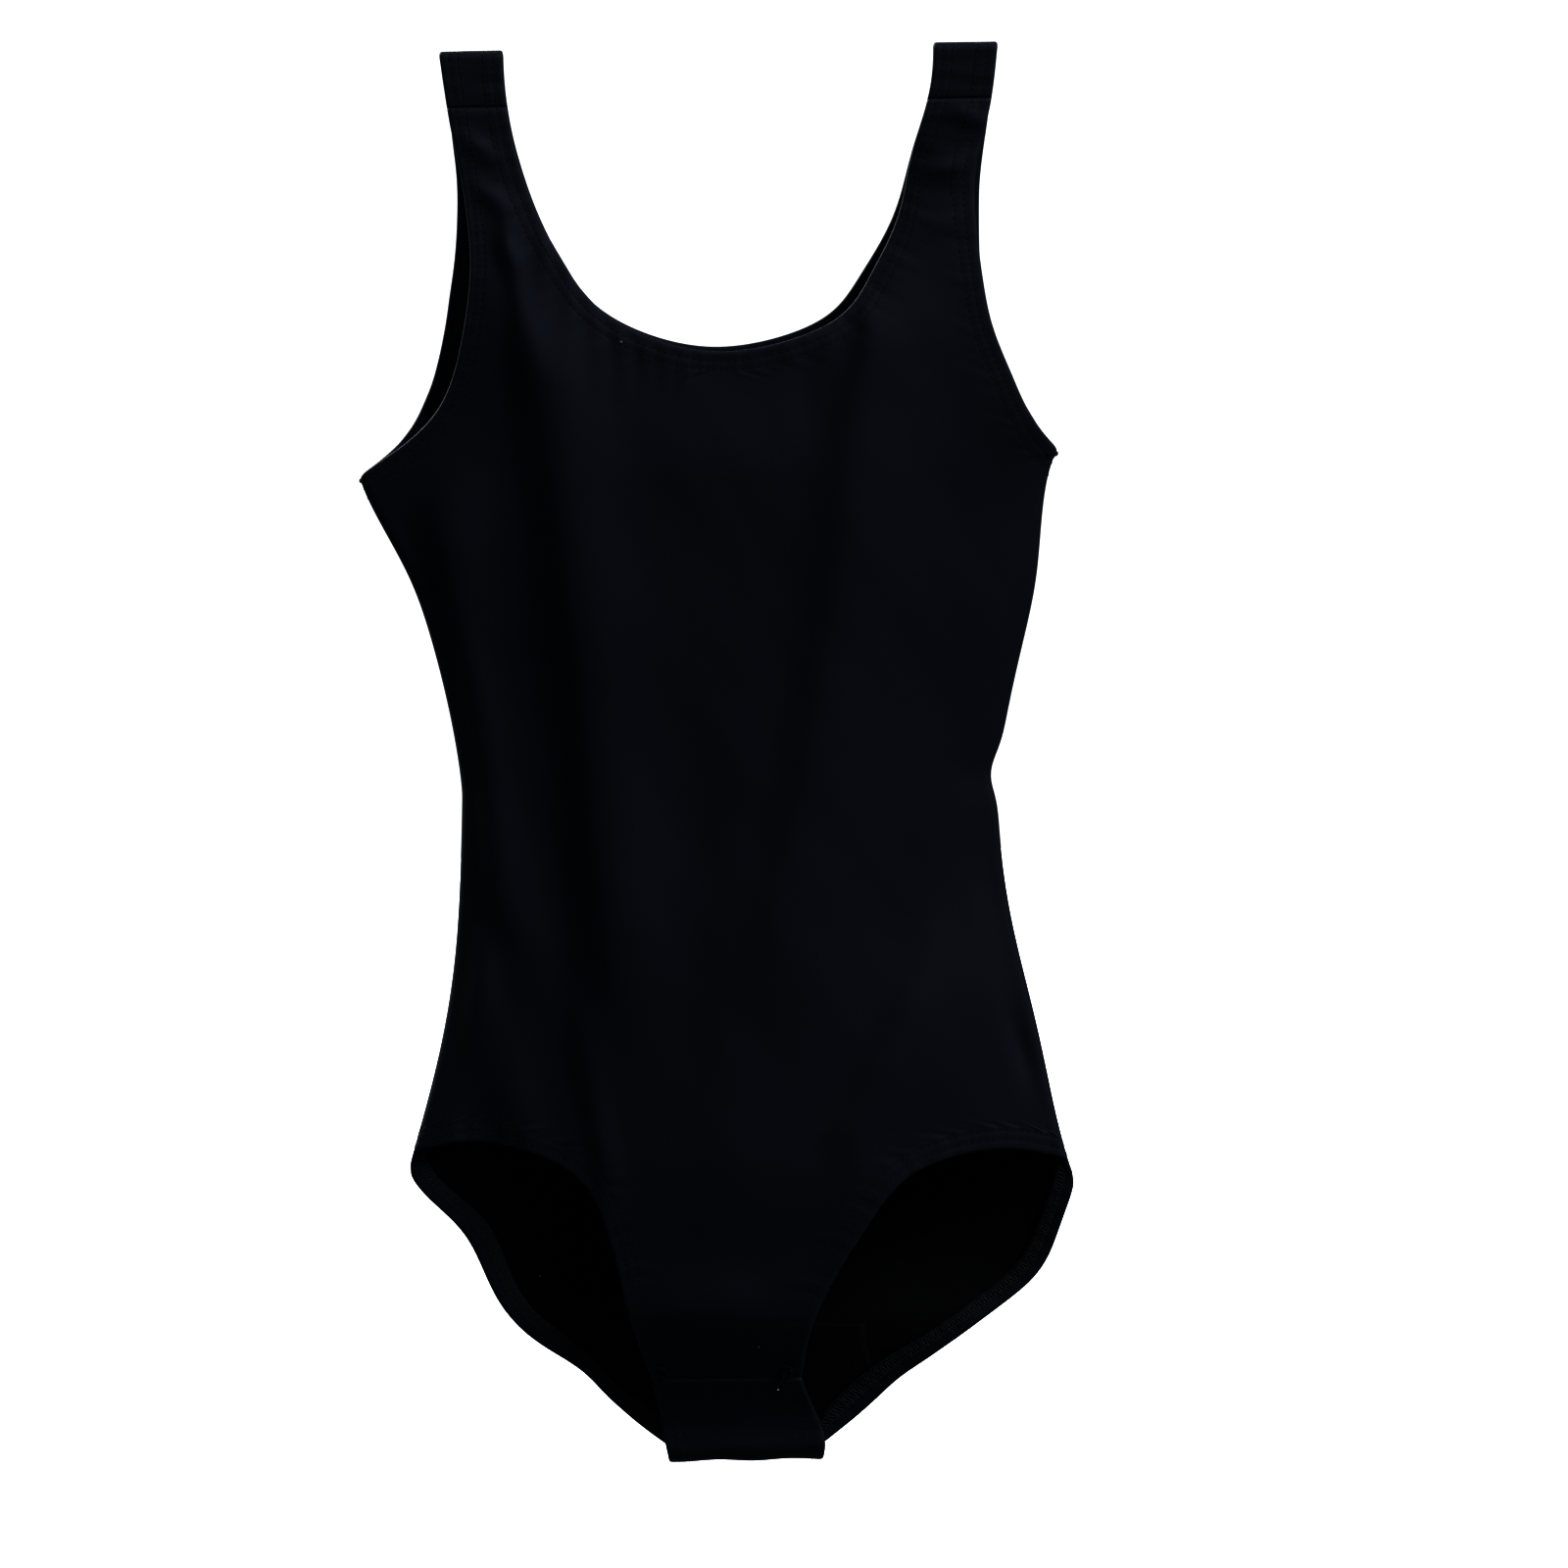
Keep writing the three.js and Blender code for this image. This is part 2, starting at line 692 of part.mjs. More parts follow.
// A blank folded label, caught by the wearer's left side seam.
function labelGeometry() {
  const { width, length, thickness, fold, rise } = labelSize;
  const outline = new THREE.Shape();
  outline.moveTo(0, 0);
  outline.lineTo(-length, 0);
  outline.lineTo(-length, fold);
  outline.lineTo(0, fold);
  outline.lineTo(0, fold - thickness);
  outline.lineTo(thickness - length, fold - thickness);
  outline.lineTo(thickness - length, thickness);
  outline.lineTo(0, thickness);
  const geometry = new THREE.ExtrudeGeometry(outline, { depth: width, bevelEnabled: false });
  const z = -hipDrop + rise;
  const x = reach(z) - clothThickness / 2 - layerGap - allowanceWidth / 2;
  return geometry.translate(x, allowanceThickness / 2 + layerGap, z - width / 2);
}

const cloth = { color: 0x0b0c12, roughness: 0.5, metalness: 0 };
const rubber = { color: 0x17171b, roughness: 0.8, metalness: 0 };
const thread = { color: 0x12131a, roughness: 0.6, metalness: 0 };
const liningCloth = { color: 0x15151a, roughness: 0.9, metalness: 0 };
const satin = { color: 0xd6d6d2, roughness: 0.45, metalness: 0 };

const group = new THREE.Group();

function addPiece(name, geometry, finish) {
  const mesh = new THREE.Mesh(geometry, new THREE.MeshStandardMaterial(finish));
  mesh.name = name;
  group.add(mesh);
}

// The same piece for the wearer's left, as made, and for the right, mirrored.
function addPair(name, geometry, finish) {
  addPiece(`left_${name}`, geometry, finish);
  const other = geometry.clone().applyMatrix4(new THREE.Matrix4().makeScale(-1, 1, 1));
  const index = Array.from(other.getIndex().array);
  for (let i = 0; i < index.length; i += 3) [index[i + 1], index[i + 2]] = [index[i + 2], index[i + 1]];
  other.setIndex(index);
  addPiece(`right_${name}`, other, finish);
}

addPiece("front_panel", panelGeometry(front, layouts.front, frontBands), cloth);
addPiece("back_panel", panelGeometry(back, layouts.back, backBands), cloth);
addPiece("crotch_lining", liningGeometry(), liningCloth);

// The neck opening runs down one half of the neckline and up the other, front and back.
const wholeNeck = (band) => [...band, ...band.slice(0, -1).reverse().map(mirroredStation)];
const loops = {
  neck: openingLoop(wholeNeck(frontBands.neck), wholeNeck(backBands.neck)),
  armhole: openingLoop(frontBands.armhole, backBands.armhole),
  leg: openingLoop(frontBands.leg, backBands.leg),
};
const elasticSpan = [elasticEdgeGap, elasticEdgeGap + elasticWidth];
const elasticHeights = [-elasticInset - elasticThickness, -elasticInset];
const stitchLow = clothThickness / 2 + layerGap;
const stitchHeights = [stitchLow, stitchLow + threadThickness];
const ringOf = (loop, span, heights) => {
  return sweepSolid(loop.map((station) => bandSection(station, span, heights)), true);
};
addPiece("neck_elastic", ringOf(loops.neck, elasticSpan, elasticHeights), rubber);
addPiece("neck_coverstitch", ringOf(loops.neck, stitchRowSpan, stitchHeights), thread);
addPair("armhole_elastic", ringOf(loops.armhole, elasticSpan, elasticHeights), rubber);
addPair("armhole_coverstitch", ringOf(loops.armhole, stitchRowSpan, stitchHeights), thread);
addPair("leg_elastic", ringOf(loops.leg, elasticSpan, elasticHeights), rubber);
addPair("leg_coverstitch", ringOf(loops.leg, stitchRowSpan, stitchHeights), thread);

addPair("side_overlock", sideAllowance(), thread);
addPair("shoulder_overlock", shoulderAllowance(), thread);
addPiece("crotch_overlock", crotchAllowance(), thread);
addPair("leg_bartack", tackGeometry(), thread);
addPiece("care_label", labelGeometry(), satin);

export default group;
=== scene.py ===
# %% [markdown]
# # A gymnastics leotard
# The leotard hangs by its two straps. It is sewn here piece by piece, in the order in which a
# workroom would do it: two cut panels of black stretch knit, a small lining, elastics in the turned
# hems, the threads that hold them, overlocked seam allowances and a blank label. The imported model
# is loaded first, because it fixes the sizes and the place of every piece.

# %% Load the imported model
import math

import bpy
import numpy as np
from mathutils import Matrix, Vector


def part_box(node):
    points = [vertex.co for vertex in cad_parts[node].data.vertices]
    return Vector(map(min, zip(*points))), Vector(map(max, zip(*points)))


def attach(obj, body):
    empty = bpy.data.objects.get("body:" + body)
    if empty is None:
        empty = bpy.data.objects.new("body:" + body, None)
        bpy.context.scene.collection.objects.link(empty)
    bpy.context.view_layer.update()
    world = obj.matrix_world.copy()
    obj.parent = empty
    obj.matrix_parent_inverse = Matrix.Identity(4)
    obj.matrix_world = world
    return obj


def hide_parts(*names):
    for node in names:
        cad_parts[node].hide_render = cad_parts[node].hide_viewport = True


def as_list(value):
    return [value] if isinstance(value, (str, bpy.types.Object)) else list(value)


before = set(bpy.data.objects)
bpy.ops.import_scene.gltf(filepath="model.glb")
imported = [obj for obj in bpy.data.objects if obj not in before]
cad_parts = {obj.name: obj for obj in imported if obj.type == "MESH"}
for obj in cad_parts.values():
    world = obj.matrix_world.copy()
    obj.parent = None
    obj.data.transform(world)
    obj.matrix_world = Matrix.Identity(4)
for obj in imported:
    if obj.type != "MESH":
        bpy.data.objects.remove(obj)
bpy.context.view_layer.update()

# %% [markdown]
# ## Cloth coordinates
# Cloth can be modelled by pushing a box about, by simulation, or on its own coordinates. The last
# way suits sewn work: a spot is given by how far across and how far along the cloth it lies, and
# every layer, thread and elastic is placed from the same spots, so nothing drifts apart. All sizes
# are in millimetres and are turned to metres only when a mesh is written.

# %% Sizes of the cut, in millimetres
MM = 0.001
STRAP_CENTRE, STRAP_WIDTH, STRAP_TAPER, STRAP_DROP = 110, 26, 3, 30
SHOULDER_SEAM_DROP, FRONT_NECK_DROP, BACK_NECK_DROP = 23, 135, 131
FRONT_ARMHOLE_SCOOP, BACK_ARMHOLE_SCOOP = 8.5, 4.5
UNDERARM_DROP, CHEST_HALF_WIDTH = 190, 154
WAIST_DROP, WAIST_HALF_WIDTH = 328, 118
HIP_DROP, HIP_HALF_WIDTH, LEG_TOP_RISE = 490, 145, 5
CROTCH_SEAM_DROP, CROTCH_HALF_WIDTH, BODY_LENGTH = 590, 32, 628
CHEST_SIDE_CURVE, HIP_SIDE_CURVE, BOW_SHARPNESS = 1.33, 2, 1.05
CHEST_FLARE, HIP_FLARE = (0.34, 0.006), (0.33, 0.012)
SIDE_FOLD_RADIUS, CROTCH_FOLD_RADIUS, STRAP_FOLD_RADIUS = 4, 7, 3.3

CLOTH, HEM_WIDTH, LAYER_GAP, SEAM_GAP = 0.5, 8.5, 0.35, 0.06
ELASTIC_WIDTH, ELASTIC_THICKNESS, ELASTIC_EDGE_GAP, ELASTIC_INSET = 6, 0.6, 1.2, 0.8
NEEDLE_ROWS = (3.2, 7.4)
HEM_DEPTH = CLOTH + ELASTIC_THICKNESS + 2 * LAYER_GAP
HEM_STACK = HEM_DEPTH + CLOTH / 2

STRAP_INNER = STRAP_CENTRE - STRAP_WIDTH / 2
STRAP_OUTER = STRAP_CENTRE + STRAP_WIDTH / 2
HANGER_HALF_DEPTH = 3.5
STRAP_HALF_DEPTH = HANGER_HALF_DEPTH + HEM_STACK
CROTCH_BEND = -(BODY_LENGTH - CROTCH_FOLD_RADIUS)
STRAP_BEND = HEM_STACK - STRAP_FOLD_RADIUS
CORNER_LENGTH = math.pi / 2 * STRAP_FOLD_RADIUS
FLAT_LENGTH = 2 * (STRAP_HALF_DEPTH - STRAP_FOLD_RADIUS)
STRAP_FOLD_LENGTH = 2 * CORNER_LENGTH + FLAT_LENGTH
SHOULDER_SEAM_ALONG = 2 * STRAP_BEND + STRAP_FOLD_LENGTH + SHOULDER_SEAM_DROP
CROTCH_FOLD_LENGTH = math.pi * CROTCH_FOLD_RADIUS
CROTCH_SEAM_ALONG = CROTCH_BEND - CROTCH_FOLD_LENGTH + CROTCH_BEND + CROTCH_SEAM_DROP

HALF_DEPTHS = [(-STRAP_DROP, STRAP_HALF_DEPTH), (-FRONT_NECK_DROP, 16), (-UNDERARM_DROP, 20),
               (-WAIST_DROP, 20), (-HIP_DROP, 24), (CROTCH_BEND, CROTCH_FOLD_RADIUS)]
SIDE_RADII = [(-STRAP_DROP, STRAP_HALF_DEPTH), (-UNDERARM_DROP, SIDE_FOLD_RADIUS),
              (-HIP_DROP, SIDE_FOLD_RADIUS), (CROTCH_BEND, CROTCH_FOLD_RADIUS)]
print("cloth runs", round(SHOULDER_SEAM_ALONG - CROTCH_SEAM_ALONG), "mm from seam to seam down the back")

# %% [markdown]
# ## The shape that it hangs in
# Seen from above, the body is a shallow bow at the front and at the back that closes in a small
# round fold at each side. The bow's depth and the sides' reach change with height. These few
# functions give the smooth shape, and they work on whole arrays of spots at once.

# %% The smooth shape of the hanging body
def ease(low, high, value):
    """0 at low and 1 at high, with a soft start and end."""
    share = np.clip((value - low) / (high - low), 0, 1)
    return share * share * (3 - 2 * share)


def mix(a, b, share):
    return a + (b - a) * share


def hump(middle, spread, value):
    """A soft bump of height 1."""
    return np.exp(-(((value - middle) / spread) ** 2))


def eased(stations, z):
    """Value between stations of (height, value), listed from the top down."""
    value = np.full(np.shape(z), float(stations[0][1]))
    for (high, above), (low, below) in zip(stations, stations[1:]):
        value = np.where(z < high, mix(below, above, ease(low, high, z)), value)
    return value


def reach(z):
    """Half width of the body at a height."""
    up = np.clip((z + WAIST_DROP) / (WAIST_DROP - UNDERARM_DROP), 0, 1) ** CHEST_SIDE_CURVE
    down = np.clip((-WAIST_DROP - z) / (HIP_DROP - WAIST_DROP), 0, 1) ** HIP_SIDE_CURVE
    half = WAIST_HALF_WIDTH + (CHEST_HALF_WIDTH - WAIST_HALF_WIDTH) * up
    half = half + (HIP_HALF_WIDTH - WAIST_HALF_WIDTH) * down
    for past, (slope, curve) in ((z + UNDERARM_DROP, CHEST_FLARE), (-HIP_DROP - z, HIP_FLARE)):
        past = np.maximum(past, 0)
        half = half + slope * past + curve * past**2
    return half


def seam_across(z):
    """The side seam's place, measured across the cloth."""
    radius = eased(SIDE_RADII, z)
    return reach(z) - radius + math.pi / 2 * radius - SEAM_GAP / 2


def cross_section(across, z):
    """x and y of the body's outline at a height, for a place across the cloth."""
    radius, depth = eased(SIDE_RADII, z), eased(HALF_DEPTHS, z)
    core = reach(z) - radius
    angle = np.clip((np.abs(across) - core) / radius, 0, math.pi / 2)
    bow = np.cos(math.pi / 2 * np.clip(np.abs(across) / core, 0, 1)) ** BOW_SHARPNESS
    past = np.abs(across) > core
    x = np.where(past, core + radius * np.sin(angle), np.abs(across))
    y = np.where(past, radius * np.cos(angle), radius + (depth - radius) * bow)
    return np.sign(across) * x, y


def front_surface(across, along):
    x, y = cross_section(across, along)
    return np.stack([x, -y, along], -1)


def back_surface(across, along):
    """The back runs over the hanger's arm at the top, and under the crotch to the front."""
    rise, fall = along - STRAP_BEND, CROTCH_BEND - along
    over, under = rise > STRAP_FOLD_LENGTH, fall > CROTCH_FOLD_LENGTH
    height = np.clip(along, CROTCH_BEND, STRAP_BEND)
    height = np.where(over, STRAP_BEND - (rise - STRAP_FOLD_LENGTH), height)
    height = np.where(under, CROTCH_BEND + fall - CROTCH_FOLD_LENGTH, height)
    x, y = cross_section(across, height)
    y = np.where(over | under, -y, y)
    middle = STRAP_HALF_DEPTH - STRAP_FOLD_RADIUS
    first = np.clip(rise, 0, CORNER_LENGTH) / STRAP_FOLD_RADIUS
    second = np.clip(rise - CORNER_LENGTH - FLAT_LENGTH, 0, CORNER_LENGTH) / STRAP_FOLD_RADIUS
    slide = np.clip(rise - CORNER_LENGTH, 0, FLAT_LENGTH)
    fold_y = middle + STRAP_FOLD_RADIUS * np.cos(first) - slide - STRAP_FOLD_RADIUS * np.sin(second)
    fold_z = STRAP_BEND + STRAP_FOLD_RADIUS * (np.sin(first) + np.cos(second) - 1)
    folded = (rise > 0) & ~over
    turn = fall / CROTCH_FOLD_RADIUS
    bent = (fall > 0) & ~under
    y = np.where(folded, fold_y, np.where(bent, CROTCH_FOLD_RADIUS * np.cos(turn), y))
    z = np.where(folded, fold_z, np.where(bent, CROTCH_BEND - CROTCH_FOLD_RADIUS * np.sin(turn), height))
    x = np.where(folded | bent, across, x)
    return np.stack([x, y, z], -1)


def front_height(along):
    """Height of a spot of the back's cloth where it lies on the front, and 1 where it does."""
    rise, fall = along - STRAP_BEND - STRAP_FOLD_LENGTH, CROTCH_BEND - CROTCH_FOLD_LENGTH - along
    height = np.where(rise > 0, STRAP_BEND - rise, np.where(fall > 0, CROTCH_BEND + fall, along))
    return height, (rise > 0) | (fall > 0)


print("half widths in mm:", {z: round(float(reach(np.array(z))))
                             for z in (-UNDERARM_DROP, -WAIST_DROP, -HIP_DROP)})

# %% [markdown]
# ## Folds
# A hanging leotard isn't smooth: its weight pulls long soft folds down from the neckline's corners,
# and the hips hang in slanting ones. Each fold is a ridge with its own line, height and width, and a
# steeper side. The seams are drawn in slightly, and small waves keep the cloth from looking pressed.

# %% Folds of the front and of the back
# line: (along, across) from the top down; rise: height of the ridge; widths: its reach to either
# side of the line, towards -x and towards +x; fade: how slowly the ridge starts and ends.
FRONT_FOLDS = [
    {"line": [(-118, -80), (-190, -75), (-260, -64), (-310, -58), (-415, -53)],
     "rise": 7.6, "widths": (13, 24)},
    {"line": [(-190, -121), (-250, -119), (-310, -115), (-362, -105), (-398, -90)],
     "rise": 5.2, "widths": (10, 15)},
    {"line": [(-120, 63), (-190, 57), (-260, 47), (-315, 36), (-390, 20)], "rise": 5.0, "widths": (13, 26)},
    {"line": [(-385, 92), (-405, 85), (-440, 70), (-480, 53)], "rise": 5.6, "widths": (13, 34), "fade": 85},
    {"line": [(-365, -118), (-415, -112), (-450, -104), (-486, -92)], "rise": 3.2, "widths": (14, 12)},
    {"line": [(-395, -122), (-440, -132), (-486, -140)], "rise": 4.6, "widths": (8, 15)},
    {"line": [(-415, -70), (-450, -66), (-500, -58)], "rise": 2.4, "widths": (5, 8)},
    {"line": [(-60, -99), (-95, -92), (-130, -88)], "rise": 1.9, "widths": (5, 7)},
    {"line": [(-300, 6), (-380, 2), (-470, -8)], "rise": 2.0, "widths": (16, 18)},
]
BACK_FOLDS = [
    {"line": [(-120, -70), (-200, -62), (-300, -50), (-400, -44)], "rise": 4.0, "widths": (18, 15)},
    {"line": [(-120, 74), (-210, 60), (-310, 52), (-430, 60)], "rise": 4.6, "widths": (16, 20)},
    {"line": [(-150, 8), (-250, 2), (-380, -6)], "rise": 2.4, "widths": (20, 17)},
    {"line": [(-330, -104), (-390, -86), (-450, -62)], "rise": 3.6, "widths": (13, 20)},
    {"line": [(-350, 108), (-400, 96), (-455, 84)], "rise": 3.0, "widths": (17, 12)},
    {"line": [(-470, 4), (-520, 2), (-570, -3)], "rise": -2.2, "widths": (24, 24)},
]
FOLD_FADE, SLOW_WAVE, QUICK_WAVE = 62, 0.7, 0.14
CROTCH_SWELL, NECK_FALL, HIP_HOLLOW = 5.6, 4.2, 3.6
SEAM_DRAW, SEAM_DRAW_REACH = 0.28, 1.6
# across, rise, width
GATHERS = [(-78, 1.1, 3.6), (-64, 0.8, 3.2), (-52, 1.0, 3.4), (-42, 1.2, 3.2), (-33, 1.0, 3.0),
           (-25, 0.8, 2.8), (-17, 0.6, 2.8), (26, 0.5, 3.6), (41, 0.8, 4.2), (57, 0.7, 4.4)]
GATHER_FADE, NO_SEAM = 26, 999
# across, height, rise, reach across, reach down, slant
STRAP_PUFFS = [(113, -31, 1.5, 8, 4.2, -0.3), (106, -54, 2.0, 9, 5, 0.25), (103, -78, 1.0, 9, 5, 0.3),
               (-107, -42, 1.6, 8, 5, -0.4), (-104, -63, 1.7, 8, 5.4, -0.5), (-96, -88, 1.6, 6, 8, -0.7)]


def ridge(across, along, line, rise, widths, fade=FOLD_FADE):
    """One soft fold: a ridge down the cloth, steeper on the side with the smaller width."""
    line = np.array(line, float)
    centre = np.polyval(np.polyfit(line[:, 0], line[:, 1], 2), np.clip(along, line[-1, 0], line[0, 0]))
    aside = across - centre
    window = ease(line[-1, 0] - fade, line[-1, 0] + fade / 2, along)
    window = window * (1 - ease(line[0, 0] - fade / 2, line[0, 0] + fade / 3, along))
    return rise * window * np.exp(-((aside / np.where(aside < 0, widths[0], widths[1])) ** 2))


def waves(across, along, phase):
    """Small uneven waves, so that no stretch of cloth is perfectly smooth."""
    slow = np.sin(across / 17 + along / 41 + phase) * np.sin(along / 29 - across / 53 + 2 * phase)
    quick = np.sin(across / 6.5 + along / 23 + 3 * phase) * np.sin(along / 11 + across / 19 - phase)
    return SLOW_WAVE * slow + QUICK_WAVE * quick


def strap_wrinkles(across, z):
    """Soft puffs and fine crosswise wrinkles on the front of each strap."""
    phase = np.where(across > 0, 0.7, 2.6)
    fine = 0.07 * np.sin(z / 1.9 + across / 9 + phase) * ease(-95, -45, z)
    for place, height, rise, wide, tall, slant in STRAP_PUFFS:
        fine = fine + rise * hump(place, wide, across) * hump(height, tall, z - slant * (across - place))
    return fine * (1 - ease(-10, -4, z))


def neck_gathers(across, z):
    """Short upright gathers that hang from the front neckline."""
    arc = np.sqrt(np.clip(1 - (np.clip(np.abs(across), 0, STRAP_INNER - 0.5) / STRAP_INNER) ** 2, 0, 1))
    below = -FRONT_NECK_DROP * arc - HEM_WIDTH / 2 - z
    total = np.zeros(np.shape(across))
    for place, rise, width in GATHERS:
        total = total + rise * hump(place * (1 + 0.0012 * below), width * (1 + 0.012 * below), across)
    return total * ease(-6, 4, below) * np.exp(-np.clip(below, 0, None) / GATHER_FADE)


def front_folds(across, z):
    total = sum(ridge(across, z, **fold) for fold in FRONT_FOLDS)
    total = total + waves(across, z, 0.4) + neck_gathers(across, z)
    # Above the crotch seam the cloth swells a little, then it turns in under the body.
    total = total + CROTCH_SWELL * hump(-558, 17, z) * hump(0, 36, across)
    # Beside the neckline on the left, the cloth falls in towards the edge.
    from_neck = 112 * (np.hypot(across / STRAP_INNER, z / FRONT_NECK_DROP) - 1)
    total = total - NECK_FALL * np.exp(-np.clip(from_neck, 0, None) / 15) * ease(20, 60, across)
    # A short upright hollow beside the left hip.
    return total - HIP_HOLLOW * hump(reach(z) - 8, 4, across) * hump(-441, 15, z)


def back_folds(across, z):
    return sum(ridge(across, z, **fold) for fold in BACK_FOLDS) + waves(across, z, 1.9)


def drawn_in(distance):
    """How far a seam draws the cloth in, at a distance from it."""
    return -SEAM_DRAW * hump(0, SEAM_DRAW_REACH, distance)


def calm(across, z):
    """0 on the hanger, at the side seams and under the crotch, where the folds die out; 1 elsewhere."""
    side = 1 - ease(-21, -3, np.abs(across) - np.where(z < -UNDERARM_DROP, seam_across(z), NO_SEAM))
    return side * (1 - ease(-60, -30, z)) * ease(-600, -575, z)


def front_lift(across, along):
    lift = front_folds(across, along) * calm(across, along) + strap_wrinkles(across, along)
    lift = lift + drawn_in(along + SHOULDER_SEAM_DROP) + drawn_in(along + CROTCH_SEAM_DROP)
    return lift + drawn_in(seam_across(along) - np.abs(across))


def back_lift(across, along):
    z, on_front = front_height(along)
    front = strap_wrinkles(across, z) + np.where(z < -300, front_folds(across, z) * calm(across, z), 0)
    back = back_folds(across, along) * calm(across, along)
    lift = np.where(on_front, front, back)
    # The fold under the crotch is a little wavy.
    lift = lift + 0.4 * np.sin(across / 5.2 + 0.8) * hump(CROTCH_BEND - CROTCH_FOLD_LENGTH / 2, 12, along)
    lift = lift + drawn_in(SHOULDER_SEAM_ALONG - along) + drawn_in(along - CROTCH_SEAM_ALONG)
    return lift + np.where(along < CROTCH_BEND, 0, drawn_in(seam_across(along) - np.abs(across)))


print(len(FRONT_FOLDS), "folds and", len(GATHERS), "gathers on the front")
print(len(BACK_FOLDS), "folds on the back")

# %% [markdown]
# ## From a spot to a place in space
# A spot's place is the smooth shape, lifted along its normal by the folds. The normal of the folded
# cloth then says which way a layer, an elastic or a thread lies above or below it. At last the whole
# garment settles: nothing hangs quite evenly, so one hip is lower, one side has a small kink, and
# soft pulls shift the cloth here and there.

# %% Place a spot of cloth
class Side:
    """The front or the back: its smooth shape, its folds, and which way its outer face points."""

    def __init__(self, name, surface, lift, outward):
        self.name, self.surface, self.lift, self.outward = name, surface, lift, outward

    def slope(self, shape, across, along, step):
        along_it = shape(across, along + step) - shape(across, along - step)
        normal = np.cross(shape(across + step, along) - shape(across - step, along), along_it)
        return self.outward * normal / np.linalg.norm(normal, axis=-1, keepdims=True)

    def lifted(self, across, along):
        normal = self.slope(self.surface, across, along, SURFACE_STEP)
        return self.surface(across, along) + normal * self.lift(across, along)[..., None]

    def point(self, across, along):
        """The folded cloth's middle surface and its outward normal."""
        across, along = np.broadcast_arrays(np.asarray(across, float), np.asarray(along, float))
        return self.lifted(across, along), self.slope(self.lifted, across, along, CLOTH_STEP)

    def place(self, across, along, height=0.0):
        middle, normal = self.point(across, along)
        return settled(middle + normal * np.broadcast_to(height, middle.shape[:-1])[..., None])


SURFACE_STEP, CLOTH_STEP = 0.004, 0.01
HIP_TILT, CROTCH_DRIFT, WAIST_KINK, BACK_SHIFT, CROTCH_LEAN = 4.5, 9, 3.2, 2.6, 18
# Each pull: across and height of its middle, its reach both ways, and its shift across and up.
PULLS = [
    (154, -186, 26, 22, -4, 8), (150, -206, 30, 30, -6, 0), (120, -150, 16, 22, 4.5, 0),
    (108, -58, 30, 28, -5, 0), (50, -125, 28, 24, 7, -1), (-50, -115, 28, 25, -4, 0),
    (-128, -88, 20, 50, 5.5, 0), (-154, -190, 25, 22, -6.5, 1.5), (-150, -212, 28, 22, -3, 0),
    (-118, -350, 40, 60, -2.5, 0), (125, -435, 45, 50, 4.5, 0), (-120, -528, 30, 25, 10, 5),
    (125, -538, 30, 24, 6, -2), (54, -604, 22, 20, 7.5, 0), (-75, -588, 20, 18, 4, 0),
    (-42, -618, 16, 12, -3, 0), (140, -170, 20, 17, 3.4, 0), (97, -50, 11, 28, -2.6, 0),
    (-138, -177, 22, 16, -2.5, 0), (-50, -600, 26, 18, 2.5, 0), (44, -619, 16, 12, 3, 0),
]


def settled(points):
    """The whole garment's small unevenness as it hangs."""
    x, y, z = points[..., 0], points[..., 1], points[..., 2]
    hips = ease(-330, -470, z) * (1 - ease(-545, -610, z))
    tilt = -HIP_TILT * np.clip(x / HIP_HALF_WIDTH, -1, 1) * hips
    drift = -CROTCH_DRIFT * ease(-490, -570, z) * (1 - ease(-588, -626, z))
    drift = drift * (1 - ease(42, 85, np.abs(x)))
    kink = -WAIST_KINK * hump(-322, 11, z) * ease(85, 116, x)
    back_shift = -BACK_SHIFT * ease(-45, -110, z) * (1 - ease(-150, -186, z)) * ease(-2, 6, y)
    back_shift = back_shift * (1 + 0.6 * ease(98, 108, np.abs(x)) + 0.8 * ease(-98, -108, x))
    under = CROTCH_LEAN * ease(-558, -618, z)
    aside, up = drift + kink + back_shift, tilt
    for across, height, wide, tall, shift_aside, shift_up in PULLS:
        pull = hump(across, wide, x) * hump(height, tall, z)
        aside, up = aside + shift_aside * pull, up + shift_up * pull
    return np.stack([x + aside, y + under, z + up], -1)


FRONT = Side("front", front_surface, front_lift, 1)
BACK = Side("back", back_surface, back_lift, -1)
print("front neckline's lowest spot in mm:", FRONT.place(0.0, -FRONT_NECK_DROP).round(1))

# %% [markdown]
# ## The cut
# The edges are drawn once for one half: the neckline is half of an ellipse, the armhole and the leg
# opening are smooth curves through a few chosen points. The hem's inner line follows each edge at
# the hem's width, and at a seam it swings round to lie on the seam.

# %% Draw the edges of the cut
EDGE_STEP, CORNER_STEP, CORNER_RUN = 1.8, 0.9, 9
SIDE_STEP, STRAP_STEP, EASE_LENGTH, BLEND_LENGTH = 2.4, 1.3, 24, 22


def strap_outer_across(z):
    return STRAP_OUTER + STRAP_TAPER * np.minimum(0, z) / STRAP_DROP


def running(spots):
    """Length along a line of spots."""
    return np.concatenate([[0], np.cumsum(np.linalg.norm(np.diff(spots, axis=0), axis=1))])


def at_lengths(spots, lengths):
    run = running(spots)
    return np.stack([np.interp(lengths, run, spots[:, k]) for k in (0, 1)], -1)


